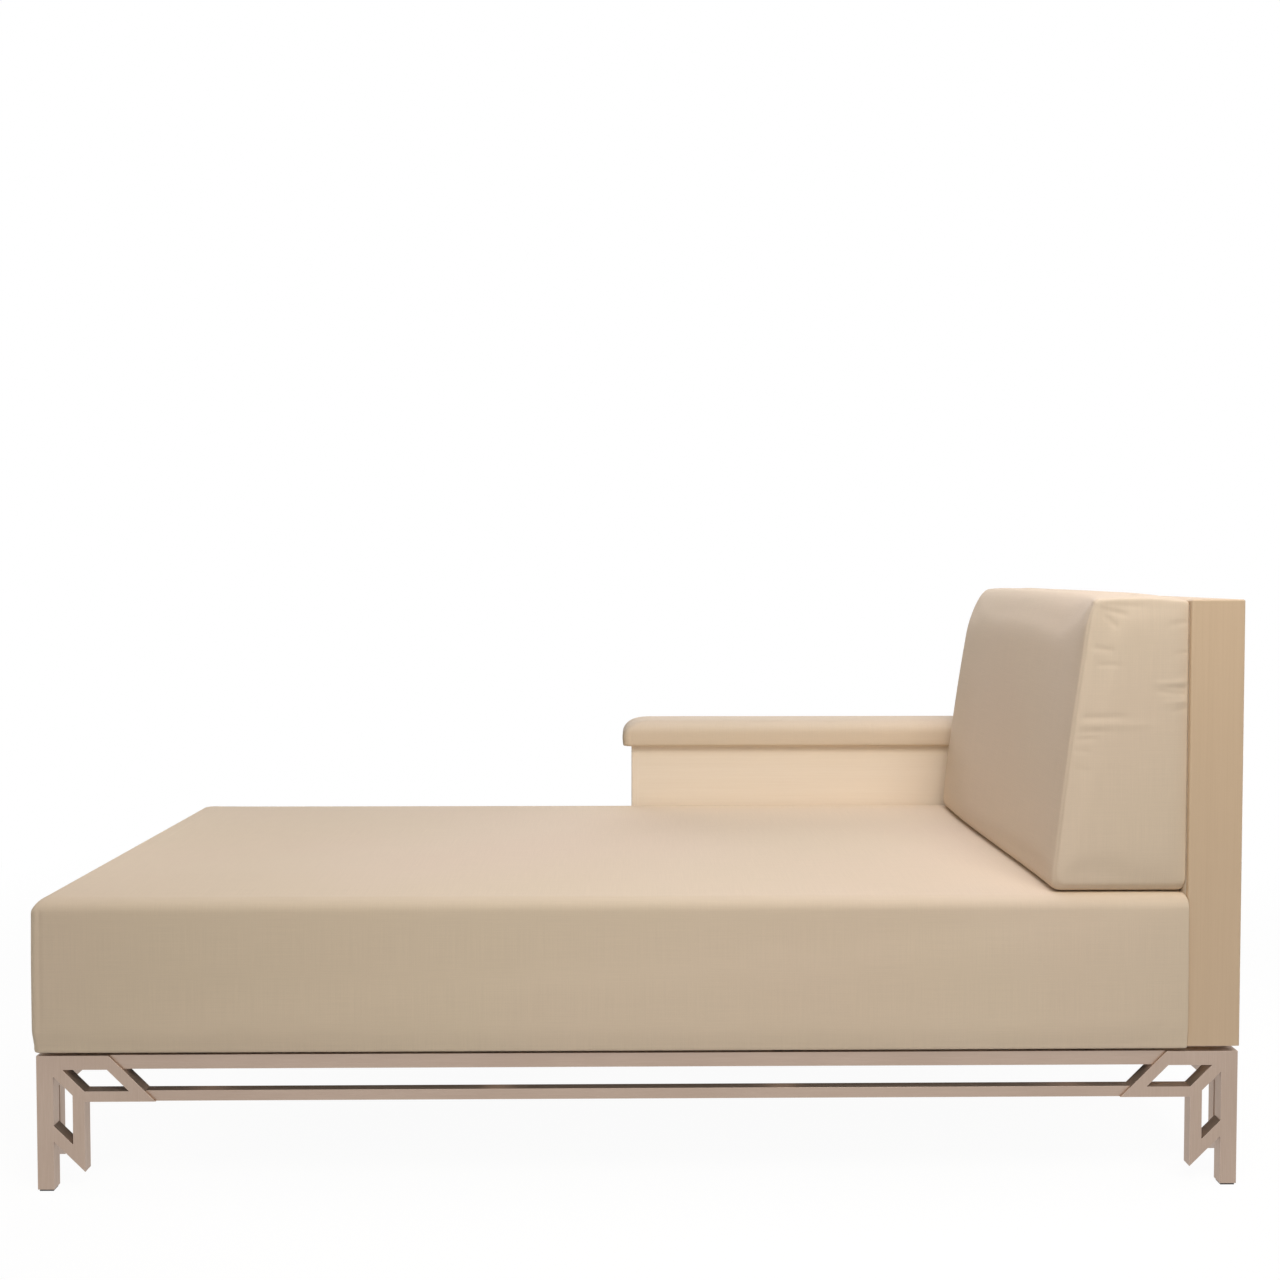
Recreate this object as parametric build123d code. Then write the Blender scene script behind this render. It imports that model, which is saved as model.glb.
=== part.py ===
from build123d import *
import math
import os

# Chaise longue: fretted metal base, upholstered seat box, plain slab back at the head end,
# low slab arm with a padded cap on the far side, and a loose back cushion.
# Millimetres. +X runs from the foot end to the head end, the front is at -Y, +Z is up.

# Overall sizes
length = 1830.0
seat_depth = 745.0
seat_bottom = 214.5
seat_top = 447.0
back_top = 896.0
back_thickness = 82.0
back_setback = 5.0
arm_length = 843.0
arm_thickness = 80.0
arm_top = 570.0

# Metal base
base_inset = 3.5
shadow_gap = 7.0
plate_thickness = 19.0
end_plate_thickness = 16.0
rail_setback = 3.0
leg_width = 25.0
fret_opening = 29.0
fret_bar = 18.0
end_fret_opening = 23.0
end_fret_bar = 16.0
diagonal_width = 17.0
slot_length = 67.0
tip_height = 29.5
upper_rail_height = 21.5
rail_gap = 33.0
lower_rail_height = 16.0
pin_diameter = 6.0
pin_length = 30.0
pin_clearance = 0.1
pin_end_gap = 0.5
cross_bar_count = 4
cross_bar_inset = 230.0
cross_bar_width = 40.0
cross_bar_thickness = 8.0
glide_height = 3.0
glide_margin = 2.0
glide_stem_diameter = 6.0
glide_stem_length = 14.0

# Screws up through the base into the seat
base_screw_diameter = 6.0
base_screw_head = 12.0
base_screw_head_height = 4.0
base_screw_bite = 32.0
base_screw_edge = 15.0
screw_clearance = 0.2
spacer_diameter = 22.0

# Seat box
cover_thickness = 2.0
seat_edge_radius = 20.0
seat_corner_radius = 22.0
foam_ease = 1.0
seat_skirt = 10.0
seat_hem = 28.0
dust_cover_gap = 0.5
seat_rail_thickness = 45.0
seat_rail_height = 110.0
stretcher_count = 3
stretcher_width = 30.0
stretcher_height = 70.0
corner_block_leg = 60.0
corner_block_height = 80.0
corner_block_lift = 10.0
webbing_width = 50.0
webbing_thickness = 2.0
webbing_margin = 8.0
cross_webbing_count = 13
long_webbing_count = 5

# Panels of the back and the arm
skin_thickness = 9.0
back_lipping = 8.0
panel_edge_round = 3.0
back_stile_width = 72.0
back_rail_height = 60.0
panel_foot_rail_height = 130.0
arm_lipping = 14.0
arm_stile_width = 50.0
arm_rail_height = 50.0

# Bolts from the seat rails into the panels
bolt_diameter = 8.0
bolt_head = 14.0
bolt_head_height = 6.0
bolt_clearance = 0.2
bolt_screw_gap = 13.0
bolt_row_gap = 45.0
back_bolt_spread = 440.0
arm_bolt_inset = 150.0
insert_diameter = 12.0
insert_length = 25.0
insert_clearance = 0.1

# Padded cap on the arm
cap_thickness = 55.0
cap_overhang = 15.0
cap_foot_overhang = 18.0
cap_edge_radius = 24.0
cap_corner_radius = 26.0
cap_side_foam = 8.0
cap_hem = 26.0
cap_board_thickness = 12.0
cap_screw_count = 4
cap_screw_inset = 90.0
cap_screw_diameter = 4.5
cap_screw_head = 9.0
cap_screw_head_height = 3.0
cap_screw_bite = 34.0

# Loose back cushion: depths are measured forward from its rear face, heights up from the seat
cushion_gap = 0.4
cushion_front_setback = 10.0
cushion_base_depth = 199.0
cushion_toe = 14.0
cushion_toe_height = 16.0
cushion_belly_depth = 178.0
cushion_belly_height = 221.0
cushion_shoulder_depth = 146.0
cushion_shoulder_height = 408.0
cushion_brow_depth = 126.0
cushion_brow_height = 443.0
cushion_crest_depth = 98.0
cushion_crest_height = 454.5
cushion_crown_height = 456.5
cushion_nape_depth = 14.0
cushion_nape_height = 452.0
cushion_rear_round = 17.0
cushion_swell = 3.0
cushion_end_round = 14.0
cushion_end_bulge = 5.0
cushion_end_flat = 10.0
cushion_end_steps = 5
cushion_swell_steps = 4
cushion_back_draw = 0.3
cushion_foam_gap = 0.3

# Zip in the cushion's chamfered lower rear edge
zip_chamfer = 20.0
zip_length = 480.0
zip_width = 12.0
zip_gap = 0.2
zip_slot_depth = 8.0
zip_teeth_width = 4.0
zip_teeth_height = 1.2
slider_length = 14.0
slider_width = 9.0
slider_height = 5.0
slider_clearance = 0.35
slider_tab_width = 5.0
slider_tab_length = 22.0
slider_tab_thickness = 1.2
slider_bridge = 1.0
slider_end_margin = 8.0

# Places worked out from the sizes above
foot_x = -length / 2
head_x = length / 2
back_x = head_x - back_thickness
front_y = -(seat_depth + arm_thickness + cap_overhang) / 2
rear_y = front_y + seat_depth
arm_rear_y = rear_y + arm_thickness
arm_x = back_x - arm_length
base_top = seat_bottom - shadow_gap
base_half_x = length / 2 - base_inset
base_half_y = seat_depth / 2 - base_inset
seat_mid_y = (front_y + rear_y) / 2
upper_bottom = base_top - upper_rail_height
lower_top = upper_bottom - rail_gap
lower_bottom = lower_top - lower_rail_height
slant = diagonal_width * math.sqrt(2)
seat_shell = cover_thickness + seat_skirt
frame_bottom = seat_bottom + cover_thickness
frame_top = frame_bottom + seat_rail_height
foam_bottom = frame_top + 2 * webbing_thickness
cushion_low = seat_top + cushion_gap
cushion_rear = back_x - cushion_gap
base_screw_y = seat_depth / 2 - seat_shell - seat_rail_thickness + base_screw_edge
bolt_low = frame_bottom + base_screw_bite + bolt_screw_gap
bolt_levels = [bolt_low, bolt_low + bolt_row_gap]


# Small helpers

def block(x0, x1, y0, y1, z0, z1):
    size = Box(x1 - x0, y1 - y0, z1 - z0)
    return Pos((x0 + x1) / 2, (y0 + y1) / 2, (z0 + z1) / 2) * size


def post(x, y, z0, z1, diameter):
    return Pos(x, y, (z0 + z1) / 2) * Cylinder(diameter / 2, z1 - z0)


def rod_x(x0, x1, y, z, diameter):
    return Pos((x0 + x1) / 2, y, z) * Rot(0, 90, 0) * Cylinder(diameter / 2, x1 - x0)


def rod_y(x, y0, y1, z, diameter):
    return Pos(x, (y0 + y1) / 2, z) * Rot(90, 0, 0) * Cylinder(diameter / 2, y1 - y0)


def spread(count, first, last):
    step = (last - first) / (count - 1)
    return [first + step * index for index in range(count)]


def polygon(points):
    return make_face(Polyline(*points, close=True))


def cut(solid, tools):
    for tool in tools:
        solid = solid - tool
    return solid


def save(node, *pieces):
    solids = [solid for piece in pieces for solid in piece.solids()]
    export_step(Compound(children=solids), f"parts/{node}.step")


# Box with padded edges: round top rim and foot end corners, square where its head end meets the back
def padded_box(x0, x1, y0, y1, z0, z1, corner, edge):
    box = block(x0, x1, y0, y1, z0, z1)
    corners = box.edges().filter_by(Axis.Z).sort_by(Axis.X)[:2]
    box = fillet(corners, corner)
    rim = box.faces().sort_by(Axis.Z)[-1].edges().sort_by(Axis.X)[:-1]
    return fillet(rim, edge)


# Metal base, modelled about its own centre and then moved under the seat

def mitre_sum(leg, opening, bar):
    return leg + opening + bar + lower_top + slot_length + slant


# Slanted edges all run at 45 degrees, so each is named by its constant sum of run and height
def fret_face(leg, opening, bar):
    bar_in = leg + opening
    bar_out = bar_in + bar
    low_sum = bar_out + tip_height
    node_sum = bar_out + lower_top
    end_sum = mitre_sum(leg, opening, bar)
    outline = [
        (leg, low_sum - leg),
        (bar_out, tip_height),
        (bar_out, lower_bottom),
        (end_sum - lower_bottom, lower_bottom),
        (end_sum - base_top, base_top),
        (leg, base_top),
    ]
    window = [
        (leg, low_sum + slant - leg),
        (bar_in, low_sum + slant - bar_in),
        (bar_in, node_sum - slant - bar_in),
        (leg, node_sum - slant - leg),
    ]
    slot = [
        (node_sum - upper_bottom, upper_bottom),
        (node_sum + slot_length - upper_bottom, upper_bottom),
        (node_sum + slot_length - lower_top, lower_top),
        (bar_out, lower_top),
    ]
    return polygon(outline) - polygon(window) - polygon(slot)


def rail_face(span, end_sum, low, high):
    return polygon([
        (end_sum - low, low),
        (span - end_sum + low, low),
        (span - end_sum + high, high),
        (end_sum - high, high),
    ])


def base_at(piece, flip_x=False, flip_y=False):
    if flip_x:
        piece = mirror(piece, about=Plane.YZ)
    if flip_y:
        piece = mirror(piece, about=Plane.XZ)
    return Pos(0, seat_mid_y, 0) * piece


front_sum = mitre_sum(leg_width, fret_opening, fret_bar)
end_sum = mitre_sum(plate_thickness, end_fret_opening, end_fret_bar)
rail_levels = {"upper": (upper_bottom, base_top), "lower": (lower_bottom, lower_top)}


# Pins across the mitres at the front foot corner, in the front rails and in the foot rails
def corner_pins(diameter, reach):
    front_y_line = -base_half_y + (rail_setback + plate_thickness) / 2
    foot_x_line = -base_half_x + (rail_setback + end_plate_thickness) / 2
    front_pins = []
    foot_pins = []
    for low, high in rail_levels.values():
        middle = (low + high) / 2
        along_x = -base_half_x + front_sum - middle
        along_y = -base_half_y + end_sum - middle
        front_pins.append(rod_x(along_x - reach, along_x + reach, front_y_line, middle, diameter))
        foot_pins.append(rod_y(foot_x_line, along_y - reach, along_y + reach, middle, diameter))
    return front_pins, foot_pins


def leg_plate():
    strip = polygon([(0, glide_height), (leg_width, glide_height), (leg_width, base_top), (0, base_top)])
    face = fret_face(leg_width, fret_opening, fret_bar) + strip
    plate = extrude(Plane.XZ * face, amount=-plate_thickness)
    plate = Pos(-base_half_x, -base_half_y, 0) * plate
    stem_hole = glide_stem(pin_clearance, pin_end_gap)
    return cut(plate, pin_holes[0] + [stem_hole])


def end_plate():
    face = fret_face(plate_thickness, end_fret_opening, end_fret_bar)
    plate = extrude(Plane.YZ * face, amount=end_plate_thickness)
    plate = Pos(-base_half_x, -base_half_y, 0) * plate
    return cut(plate, pin_holes[1])


def glide_stem(ease, deeper):
    x = -base_half_x + leg_width / 2
    y = -base_half_y + plate_thickness / 2
    top = glide_height + glide_stem_length + deeper
    return post(x, y, glide_height, top, glide_stem_diameter + 2 * ease)


def leg_glide():
    x0 = -base_half_x + glide_margin
    x1 = -base_half_x + leg_width - glide_margin
    y0 = -base_half_y + glide_margin
    y1 = -base_half_y + plate_thickness - glide_margin
    return block(x0, x1, y0, y1, 0, glide_height) + glide_stem(0, 0)


def front_rail(low, high):
    face = rail_face(2 * base_half_x, front_sum, low, high)
    rail = extrude(Plane.XZ * face, amount=rail_setback - plate_thickness)
    rail = Pos(-base_half_x, -base_half_y + rail_setback, 0) * rail
    holes = pin_holes[0] + [mirror(hole, about=Plane.YZ) for hole in pin_holes[0]]
    return cut(rail, holes)


def foot_rail(low, high):
    face = rail_face(2 * base_half_y, end_sum, low, high)
    rail = extrude(Plane.YZ * face, amount=end_plate_thickness - rail_setback)
    rail = Pos(-base_half_x + rail_setback, -base_half_y, 0) * rail
    holes = pin_holes[1] + [mirror(hole, about=Plane.XZ) for hole in pin_holes[1]]
    return cut(rail, holes)


pin_holes = corner_pins(pin_diameter + 2 * pin_clearance, pin_length / 2 + pin_end_gap)
pins = corner_pins(pin_diameter, pin_length / 2)
corners = [("front_foot", False, False), ("front_head", True, False)]
corners += [("rear_foot", False, True), ("rear_head", True, True)]
cross_bar_places = spread(cross_bar_count, cross_bar_inset - base_half_x, base_half_x - cross_bar_inset)
base_screw_places = [(x, y) for x in cross_bar_places for y in (-base_screw_y, base_screw_y)]
cross_bar_bottom = base_top - cross_bar_thickness


def base_screw_holes():
    diameter = base_screw_diameter + 2 * screw_clearance
    top = frame_bottom + base_screw_bite + pin_end_gap
    return [base_at(post(x, y, cross_bar_bottom, top, diameter)) for x, y in base_screw_places]


def base_screw(x, y):
    head_low = cross_bar_bottom - base_screw_head_height
    head = post(x, y, head_low, cross_bar_bottom, base_screw_head)
    shank = post(x, y, head_low, frame_bottom + base_screw_bite, base_screw_diameter)
    return base_at(head + shank)


def spacer_pad(x, y):
    return base_at(post(x, y, base_top, seat_bottom, spacer_diameter))


def cross_bar(x):
    half_width = cross_bar_width / 2
    half_span = base_half_y - plate_thickness
    return base_at(block(x - half_width, x + half_width, -half_span, half_span, cross_bar_bottom, base_top))


def build_base():
    for corner, flip_x, flip_y in corners:
        save(f"leg_plate_{corner}", base_at(leg_plate(), flip_x, flip_y))
        save(f"end_plate_{corner}", base_at(end_plate(), flip_x, flip_y))
    for level, (low, high) in rail_levels.items():
        save(f"{level}_rail_front", base_at(front_rail(low, high)))
        save(f"{level}_rail_rear", base_at(front_rail(low, high), flip_y=True))
        save(f"{level}_rail_foot", base_at(foot_rail(low, high)))
        save(f"{level}_rail_head", base_at(foot_rail(low, high), flip_x=True))
    all_pins = [base_at(pin, *flips) for _, *flips in corners for pin in pins[0] + pins[1]]
    save("rail_pins", *all_pins)
    save("leg_glides", *[base_at(leg_glide(), *flips) for _, *flips in corners])
    holes = base_screw_holes()
    save("cross_bars", *[cut(cross_bar(x), holes) for x in cross_bar_places])
    save("spacer_pads", *[cut(spacer_pad(x, y), holes) for x, y in base_screw_places])
    save("base_screws", *[base_screw(x, y) for x, y in base_screw_places])


# Bolts that hold the back panel to the seat's head rail and the arm to its rear rail

def back_bolt_places():
    half = back_bolt_spread / 2
    return [(seat_mid_y + side * half, z) for side in (-1, 1) for z in bolt_levels]


def arm_bolt_places():
    return [(x, z) for x in (arm_x + arm_bolt_inset, back_x - arm_bolt_inset) for z in bolt_levels]


bolt_head_x = back_x - seat_shell - seat_rail_thickness
bolt_head_y = rear_y - seat_shell - seat_rail_thickness
bolt_end_x = back_x + skin_thickness + insert_length
bolt_end_y = rear_y + skin_thickness + insert_length


def back_bolt(y, z):
    head = rod_x(bolt_head_x - bolt_head_height, bolt_head_x, y, z, bolt_head)
    return head + rod_x(bolt_head_x - bolt_head_height, bolt_end_x, y, z, bolt_diameter)


def arm_bolt(x, z):
    head = rod_y(x, bolt_head_y - bolt_head_height, bolt_head_y, z, bolt_head)
    return head + rod_y(x, bolt_head_y - bolt_head_height, bolt_end_y, z, bolt_diameter)


def bolt_holes():
    diameter = bolt_diameter + 2 * bolt_clearance
    back = [rod_x(bolt_head_x, bolt_end_x, y, z, diameter) for y, z in back_bolt_places()]
    arm = [rod_y(x, bolt_head_y, bolt_end_y, z, diameter) for x, z in arm_bolt_places()]
    return back + arm


def insert_blanks(diameter):
    back = [rod_x(bolt_end_x - insert_length, bolt_end_x, y, z, diameter) for y, z in back_bolt_places()]
    arm = [rod_y(x, bolt_end_y - insert_length, bolt_end_y, z, diameter) for x, z in arm_bolt_places()]
    return back + arm


def build_bolts():
    bolts = [back_bolt(y, z) for y, z in back_bolt_places()]
    bolts += [arm_bolt(x, z) for x, z in arm_bolt_places()]
    save("panel_bolts", *bolts)
    holes = bolt_holes()
    save("panel_inserts", *[cut(blank, holes) for blank in insert_blanks(insert_diameter)])


# Seat box

frame_x0 = foot_x + seat_shell
frame_x1 = back_x - seat_shell
frame_y0 = front_y + seat_shell
frame_y1 = rear_y - seat_shell
inner_x0 = frame_x0 + seat_rail_thickness
inner_x1 = frame_x1 - seat_rail_thickness
inner_y0 = frame_y0 + seat_rail_thickness
inner_y1 = frame_y1 - seat_rail_thickness


def seat_cover():
    wall = cover_thickness
    outer = padded_box(foot_x, back_x, front_y, rear_y, seat_bottom, seat_top,
                       seat_corner_radius, seat_edge_radius)
    inner = padded_box(foot_x + wall, back_x - wall, front_y + wall, rear_y - wall,
                       frame_bottom, seat_top - wall,
                       seat_corner_radius - wall, seat_edge_radius - wall)
    mouth = block(foot_x + seat_hem, back_x - seat_hem, front_y + seat_hem, rear_y - seat_hem,
                  seat_bottom, frame_bottom)
    return outer - inner - mouth


def seat_foam():
    wall = cover_thickness
    foam = padded_box(foot_x + wall, back_x - wall, front_y + wall, rear_y - wall,
                      frame_bottom, seat_top - wall,
                      seat_corner_radius - wall + foam_ease, seat_edge_radius - wall + foam_ease)
    return foam - block(frame_x0, frame_x1, frame_y0, frame_y1, frame_bottom, foam_bottom)


def dust_cover():
    edge = seat_hem + dust_cover_gap
    return block(foot_x + edge, back_x - edge, front_y + edge, rear_y - edge, seat_bottom, frame_bottom)


def corner_blocks():
    low = frame_bottom + corner_block_lift
    leg = corner_block_leg
    blocks = []
    for x, x_way in ((inner_x0, 1), (inner_x1, -1)):
        for y, y_way in ((inner_y0, 1), (inner_y1, -1)):
            face = polygon([(x, y), (x + x_way * leg, y), (x, y + y_way * leg)])
            prism = extrude(face, amount=corner_block_height, dir=(0, 0, 1))
            blocks.append(Pos(0, 0, low) * prism)
    return blocks


def stretchers():
    places = spread(stretcher_count + 2, inner_x0, inner_x1)[1:-1]
    half = stretcher_width / 2
    top = frame_bottom + stretcher_height
    return [block(x - half, x + half, inner_y0, inner_y1, frame_bottom, top) for x in places]


def cross_webbing():
    half = webbing_width / 2
    places = spread(cross_webbing_count, inner_x0 + half + webbing_margin, inner_x1 - half - webbing_margin)
    y0 = frame_y0 + webbing_margin
    y1 = frame_y1 - webbing_margin
    return [block(x - half, x + half, y0, y1, frame_top, frame_top + webbing_thickness) for x in places]


def long_webbing():
    half = webbing_width / 2
    places = spread(long_webbing_count, inner_y0 + half + webbing_margin, inner_y1 - half - webbing_margin)
    x0 = frame_x0 + webbing_margin
    x1 = frame_x1 - webbing_margin
    low = frame_top + webbing_thickness
    return [block(x0, x1, y - half, y + half, low, foam_bottom) for y in places]


def build_seat():
    holes = base_screw_holes()
    panel_holes = bolt_holes()
    low = frame_bottom
    top = frame_top
    front = block(frame_x0, frame_x1, frame_y0, inner_y0, low, top)
    rear = block(frame_x0, frame_x1, inner_y1, frame_y1, low, top)
    foot = block(frame_x0, inner_x0, inner_y0, inner_y1, low, top)
    head = block(inner_x1, frame_x1, inner_y0, inner_y1, low, top)
    save("seat_front_rail", cut(front, holes))
    save("seat_rear_rail", cut(rear, holes + panel_holes))
    save("seat_foot_rail", foot)
    save("seat_head_rail", cut(head, panel_holes))
    save("seat_stretchers", *stretchers())
    save("seat_corner_blocks", *corner_blocks())
    save("seat_cross_webbing", *cross_webbing())
    save("seat_long_webbing", *long_webbing())
    save("seat_foam", cut(seat_foam(), panel_holes))
    save("seat_cover", cut(seat_cover(), panel_holes))
    save("seat_dust_cover", cut(dust_cover(), holes))


# Back panel: a frame between two skins, with lippings on the edges that show

def build_back():
    y0 = front_y + back_setback
    y1 = arm_rear_y
    core_x0 = back_x + skin_thickness
    core_x1 = head_x - skin_thickness
    core_y0 = y0 + back_lipping
    core_y1 = y1 - back_lipping
    core_top = back_top - back_lipping
    rail_y0 = core_y0 + back_stile_width
    rail_y1 = core_y1 - back_stile_width
    middle = (seat_bottom + panel_foot_rail_height + core_top - back_rail_height) / 2
    half = back_rail_height / 2
    holes = bolt_holes()
    foot_rail_top = seat_bottom + panel_foot_rail_height
    bottom_rail = block(core_x0, core_x1, rail_y0, rail_y1, seat_bottom, foot_rail_top)
    inner_skin = block(back_x, core_x0, core_y0, core_y1, seat_bottom, core_top)
    save("back_front_stile", block(core_x0, core_x1, core_y0, rail_y0, seat_bottom, core_top))
    save("back_rear_stile", block(core_x0, core_x1, rail_y1, core_y1, seat_bottom, core_top))
    save("back_bottom_rail", cut(bottom_rail, insert_blanks(insert_diameter + 2 * insert_clearance)))
    save("back_middle_rail", block(core_x0, core_x1, rail_y0, rail_y1, middle - half, middle + half))
    save("back_top_rail", block(core_x0, core_x1, rail_y0, rail_y1, core_top - back_rail_height, core_top))
    save("back_inner_skin", cut(inner_skin, holes))
    save("back_outer_skin", block(core_x1, head_x, core_y0, core_y1, seat_bottom, core_top))
    panel = block(back_x, head_x, y0, y1, seat_bottom, back_top)
    panel = fillet(panel.edges().filter_by(Axis.Z) + panel.faces().sort_by(Axis.Z)[-1].edges(), panel_edge_round)
    save("back_front_lipping", panel & block(back_x, head_x, y0, core_y0, seat_bottom, back_top))
    save("back_rear_lipping", panel & block(back_x, head_x, core_y1, y1, seat_bottom, back_top))
    save("back_top_lipping", panel & block(back_x, head_x, core_y0, core_y1, core_top, back_top))


# Arm panel, built the same way

arm_core_x0 = arm_x + arm_lipping


def cap_screw_places():
    y = (rear_y + arm_rear_y) / 2
    return [(x, y) for x in spread(cap_screw_count, arm_x + cap_screw_inset, back_x - cap_screw_inset)]


def cap_screw_holes():
    board_top = arm_top + cover_thickness + cap_board_thickness
    low = arm_top - cap_screw_bite - pin_end_gap
    holes = []
    for x, y in cap_screw_places():
        shank = post(x, y, low, board_top, cap_screw_diameter + 2 * screw_clearance)
        head = post(x, y, board_top - cap_screw_head_height, board_top, cap_screw_head + 2 * screw_clearance)
        holes.append(shank + head)
    return holes


def build_arm():
    core_y0 = rear_y + skin_thickness
    core_y1 = arm_rear_y - skin_thickness
    rail_x0 = arm_core_x0 + arm_stile_width
    rail_x1 = back_x - arm_stile_width
    holes = bolt_holes()
    foot_rail_top = seat_bottom + panel_foot_rail_height
    bottom_rail = block(rail_x0, rail_x1, core_y0, core_y1, seat_bottom, foot_rail_top)
    top_rail = block(rail_x0, rail_x1, core_y0, core_y1, arm_top - arm_rail_height, arm_top)
    inner_skin = block(arm_core_x0, back_x, rear_y, core_y0, seat_bottom, arm_top)
    save("arm_foot_stile", block(arm_core_x0, rail_x0, core_y0, core_y1, seat_bottom, arm_top))
    save("arm_head_stile", block(rail_x1, back_x, core_y0, core_y1, seat_bottom, arm_top))
    save("arm_bottom_rail", cut(bottom_rail, insert_blanks(insert_diameter + 2 * insert_clearance)))
    save("arm_top_rail", cut(top_rail, cap_screw_holes()))
    save("arm_inner_skin", cut(inner_skin, holes))
    save("arm_outer_skin", block(arm_core_x0, back_x, core_y1, arm_rear_y, seat_bottom, arm_top))
    foot_lipping = block(arm_x, arm_core_x0, rear_y, arm_rear_y, seat_bottom, arm_top)
    save("arm_foot_lipping", fillet(foot_lipping.edges().filter_by(Axis.Z).sort_by(Axis.X)[:2], panel_edge_round))


# Padded cap: a board screwed to the arm, foam over it and a cover hemmed under it

cap_x = arm_x - cap_foot_overhang
cap_y0 = rear_y - cap_overhang
cap_y1 = arm_rear_y + cap_overhang
cap_top = arm_top + cap_thickness
cap_foam_low = arm_top + cover_thickness


def cap_board_box(low, high):
    edge = cover_thickness + cap_side_foam
    return block(cap_x + edge, back_x - edge, cap_y0 + edge, cap_y1 - edge, low, high)


def cap_cover():
    wall = cover_thickness
    outer = padded_box(cap_x, back_x, cap_y0, cap_y1, arm_top, cap_top, cap_corner_radius, cap_edge_radius)
    inner = padded_box(cap_x + wall, back_x - wall, cap_y0 + wall, cap_y1 - wall, cap_foam_low, cap_top - wall,
                       cap_corner_radius - wall, cap_edge_radius - wall)
    mouth = block(cap_x + cap_hem, back_x - cap_hem, cap_y0 + cap_hem, cap_y1 - cap_hem, arm_top, cap_foam_low)
    return outer - inner - mouth


def cap_foam():
    wall = cover_thickness
    foam = padded_box(cap_x + wall, back_x - wall, cap_y0 + wall, cap_y1 - wall, cap_foam_low, cap_top - wall,
                      cap_corner_radius - wall + foam_ease, cap_edge_radius - wall + foam_ease)
    return foam - cap_board_box(cap_foam_low, cap_foam_low + cap_board_thickness)


def cap_screw(x, y):
    board_top = cap_foam_low + cap_board_thickness
    head = post(x, y, board_top - cap_screw_head_height, board_top, cap_screw_head)
    return head + post(x, y, arm_top - cap_screw_bite, board_top, cap_screw_diameter)


def build_cap():
    board = cap_board_box(cap_foam_low, cap_foam_low + cap_board_thickness)
    save("arm_cap_board", cut(board, cap_screw_holes()))
    save("arm_cap_foam", cap_foam())
    save("arm_cap_cover", cap_cover())
    save("arm_cap_screws", *[cap_screw(x, y) for x, y in cap_screw_places()])


# Loose back cushion: a wedge that is thick at the seat, with a crowned face and drawn-in ends

cushion_y0 = front_y + cushion_front_setback
cushion_y1 = rear_y - cap_overhang - cushion_gap


def cushion_section(y, inset, draw, swell):
    front_in = inset + draw - swell
    back_in = inset + draw * cushion_back_draw
    rear = cushion_rear - back_in
    low = cushion_low + back_in
    chamfer = zip_chamfer - inset * (2 - math.sqrt(2))

    def at(depth, height):
        return (cushion_rear - depth + front_in, cushion_low + height - front_in)

    toe_low = (cushion_rear - cushion_base_depth + cushion_toe + front_in, low)
    toe_high = (cushion_rear - cushion_base_depth + front_in, low + cushion_toe_height)
    toe_mid = (toe_high[0] + cushion_toe * (1 - math.sqrt(0.5)), low + cushion_toe_height * (1 - math.sqrt(0.5)))
    belly = (cushion_rear - cushion_belly_depth + front_in, cushion_low + cushion_belly_height)
    shoulder = at(cushion_shoulder_depth, cushion_shoulder_height)
    brow = at(cushion_brow_depth, cushion_brow_height)
    crest = at(cushion_crest_depth, cushion_crest_height)
    nape = (cushion_rear - cushion_nape_depth - back_in, cushion_low + cushion_nape_height - front_in)
    crown = ((crest[0] + nape[0]) / 2, cushion_low + cushion_crown_height - front_in)
    rear_high = (rear, nape[1] - cushion_rear_round)
    nape_mid = (rear - cushion_nape_depth * (1 - math.sqrt(0.5)),
                nape[1] - cushion_rear_round * (1 - math.sqrt(0.5)))
    zip_high = (rear, low + chamfer)
    zip_low = (rear - chamfer, low)
    edges = [
        Line(zip_low, toe_low),
        ThreePointArc(toe_low, toe_mid, toe_high),
        ThreePointArc(toe_high, belly, shoulder),
        ThreePointArc(shoulder, brow, crest),
        ThreePointArc(crest, crown, nape),
        ThreePointArc(nape, nape_mid, rear_high),
        Line(rear_high, zip_high),
        Line(zip_high, zip_low),
    ]
    return Plane.XZ.offset(-y) * make_face(edges)


def cushion_form(inset):
    y0 = cushion_y0 + inset
    y1 = cushion_y1 - inset
    ends = [(0.0, cushion_end_round + cushion_end_flat)]
    for step in range(cushion_end_steps + 1):
        turn = math.radians(90 * step / cushion_end_steps)
        run = cushion_end_bulge + cushion_end_round * (1 - math.cos(turn))
        ends.append((run, cushion_end_round * (1 - math.sin(turn))))
    flat_start = y0 + ends[-1][0]
    flat_end = y1 - ends[-1][0]
    sections = [cushion_section(y0 + run, inset, draw, 0.0) for run, draw in ends]
    for step in range(1, cushion_swell_steps):
        share = step / cushion_swell_steps
        y = flat_start + (flat_end - flat_start) * share
        sections.append(cushion_section(y, inset, 0.0, cushion_swell * 4 * share * (1 - share)))
    sections += [cushion_section(y1 - run, inset, draw, 0.0) for run, draw in reversed(ends)]
    return loft(sections, ruled=True)


# Places a piece on the chamfer: its X runs up the chamfer, its Y along the zip, its Z into the cushion
def on_chamfer(piece):
    middle_y = (cushion_y0 + cushion_y1) / 2
    place = Pos(cushion_rear - zip_chamfer / 2, middle_y, cushion_low + zip_chamfer / 2)
    return place * Rot(0, -45, 0) * piece


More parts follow.
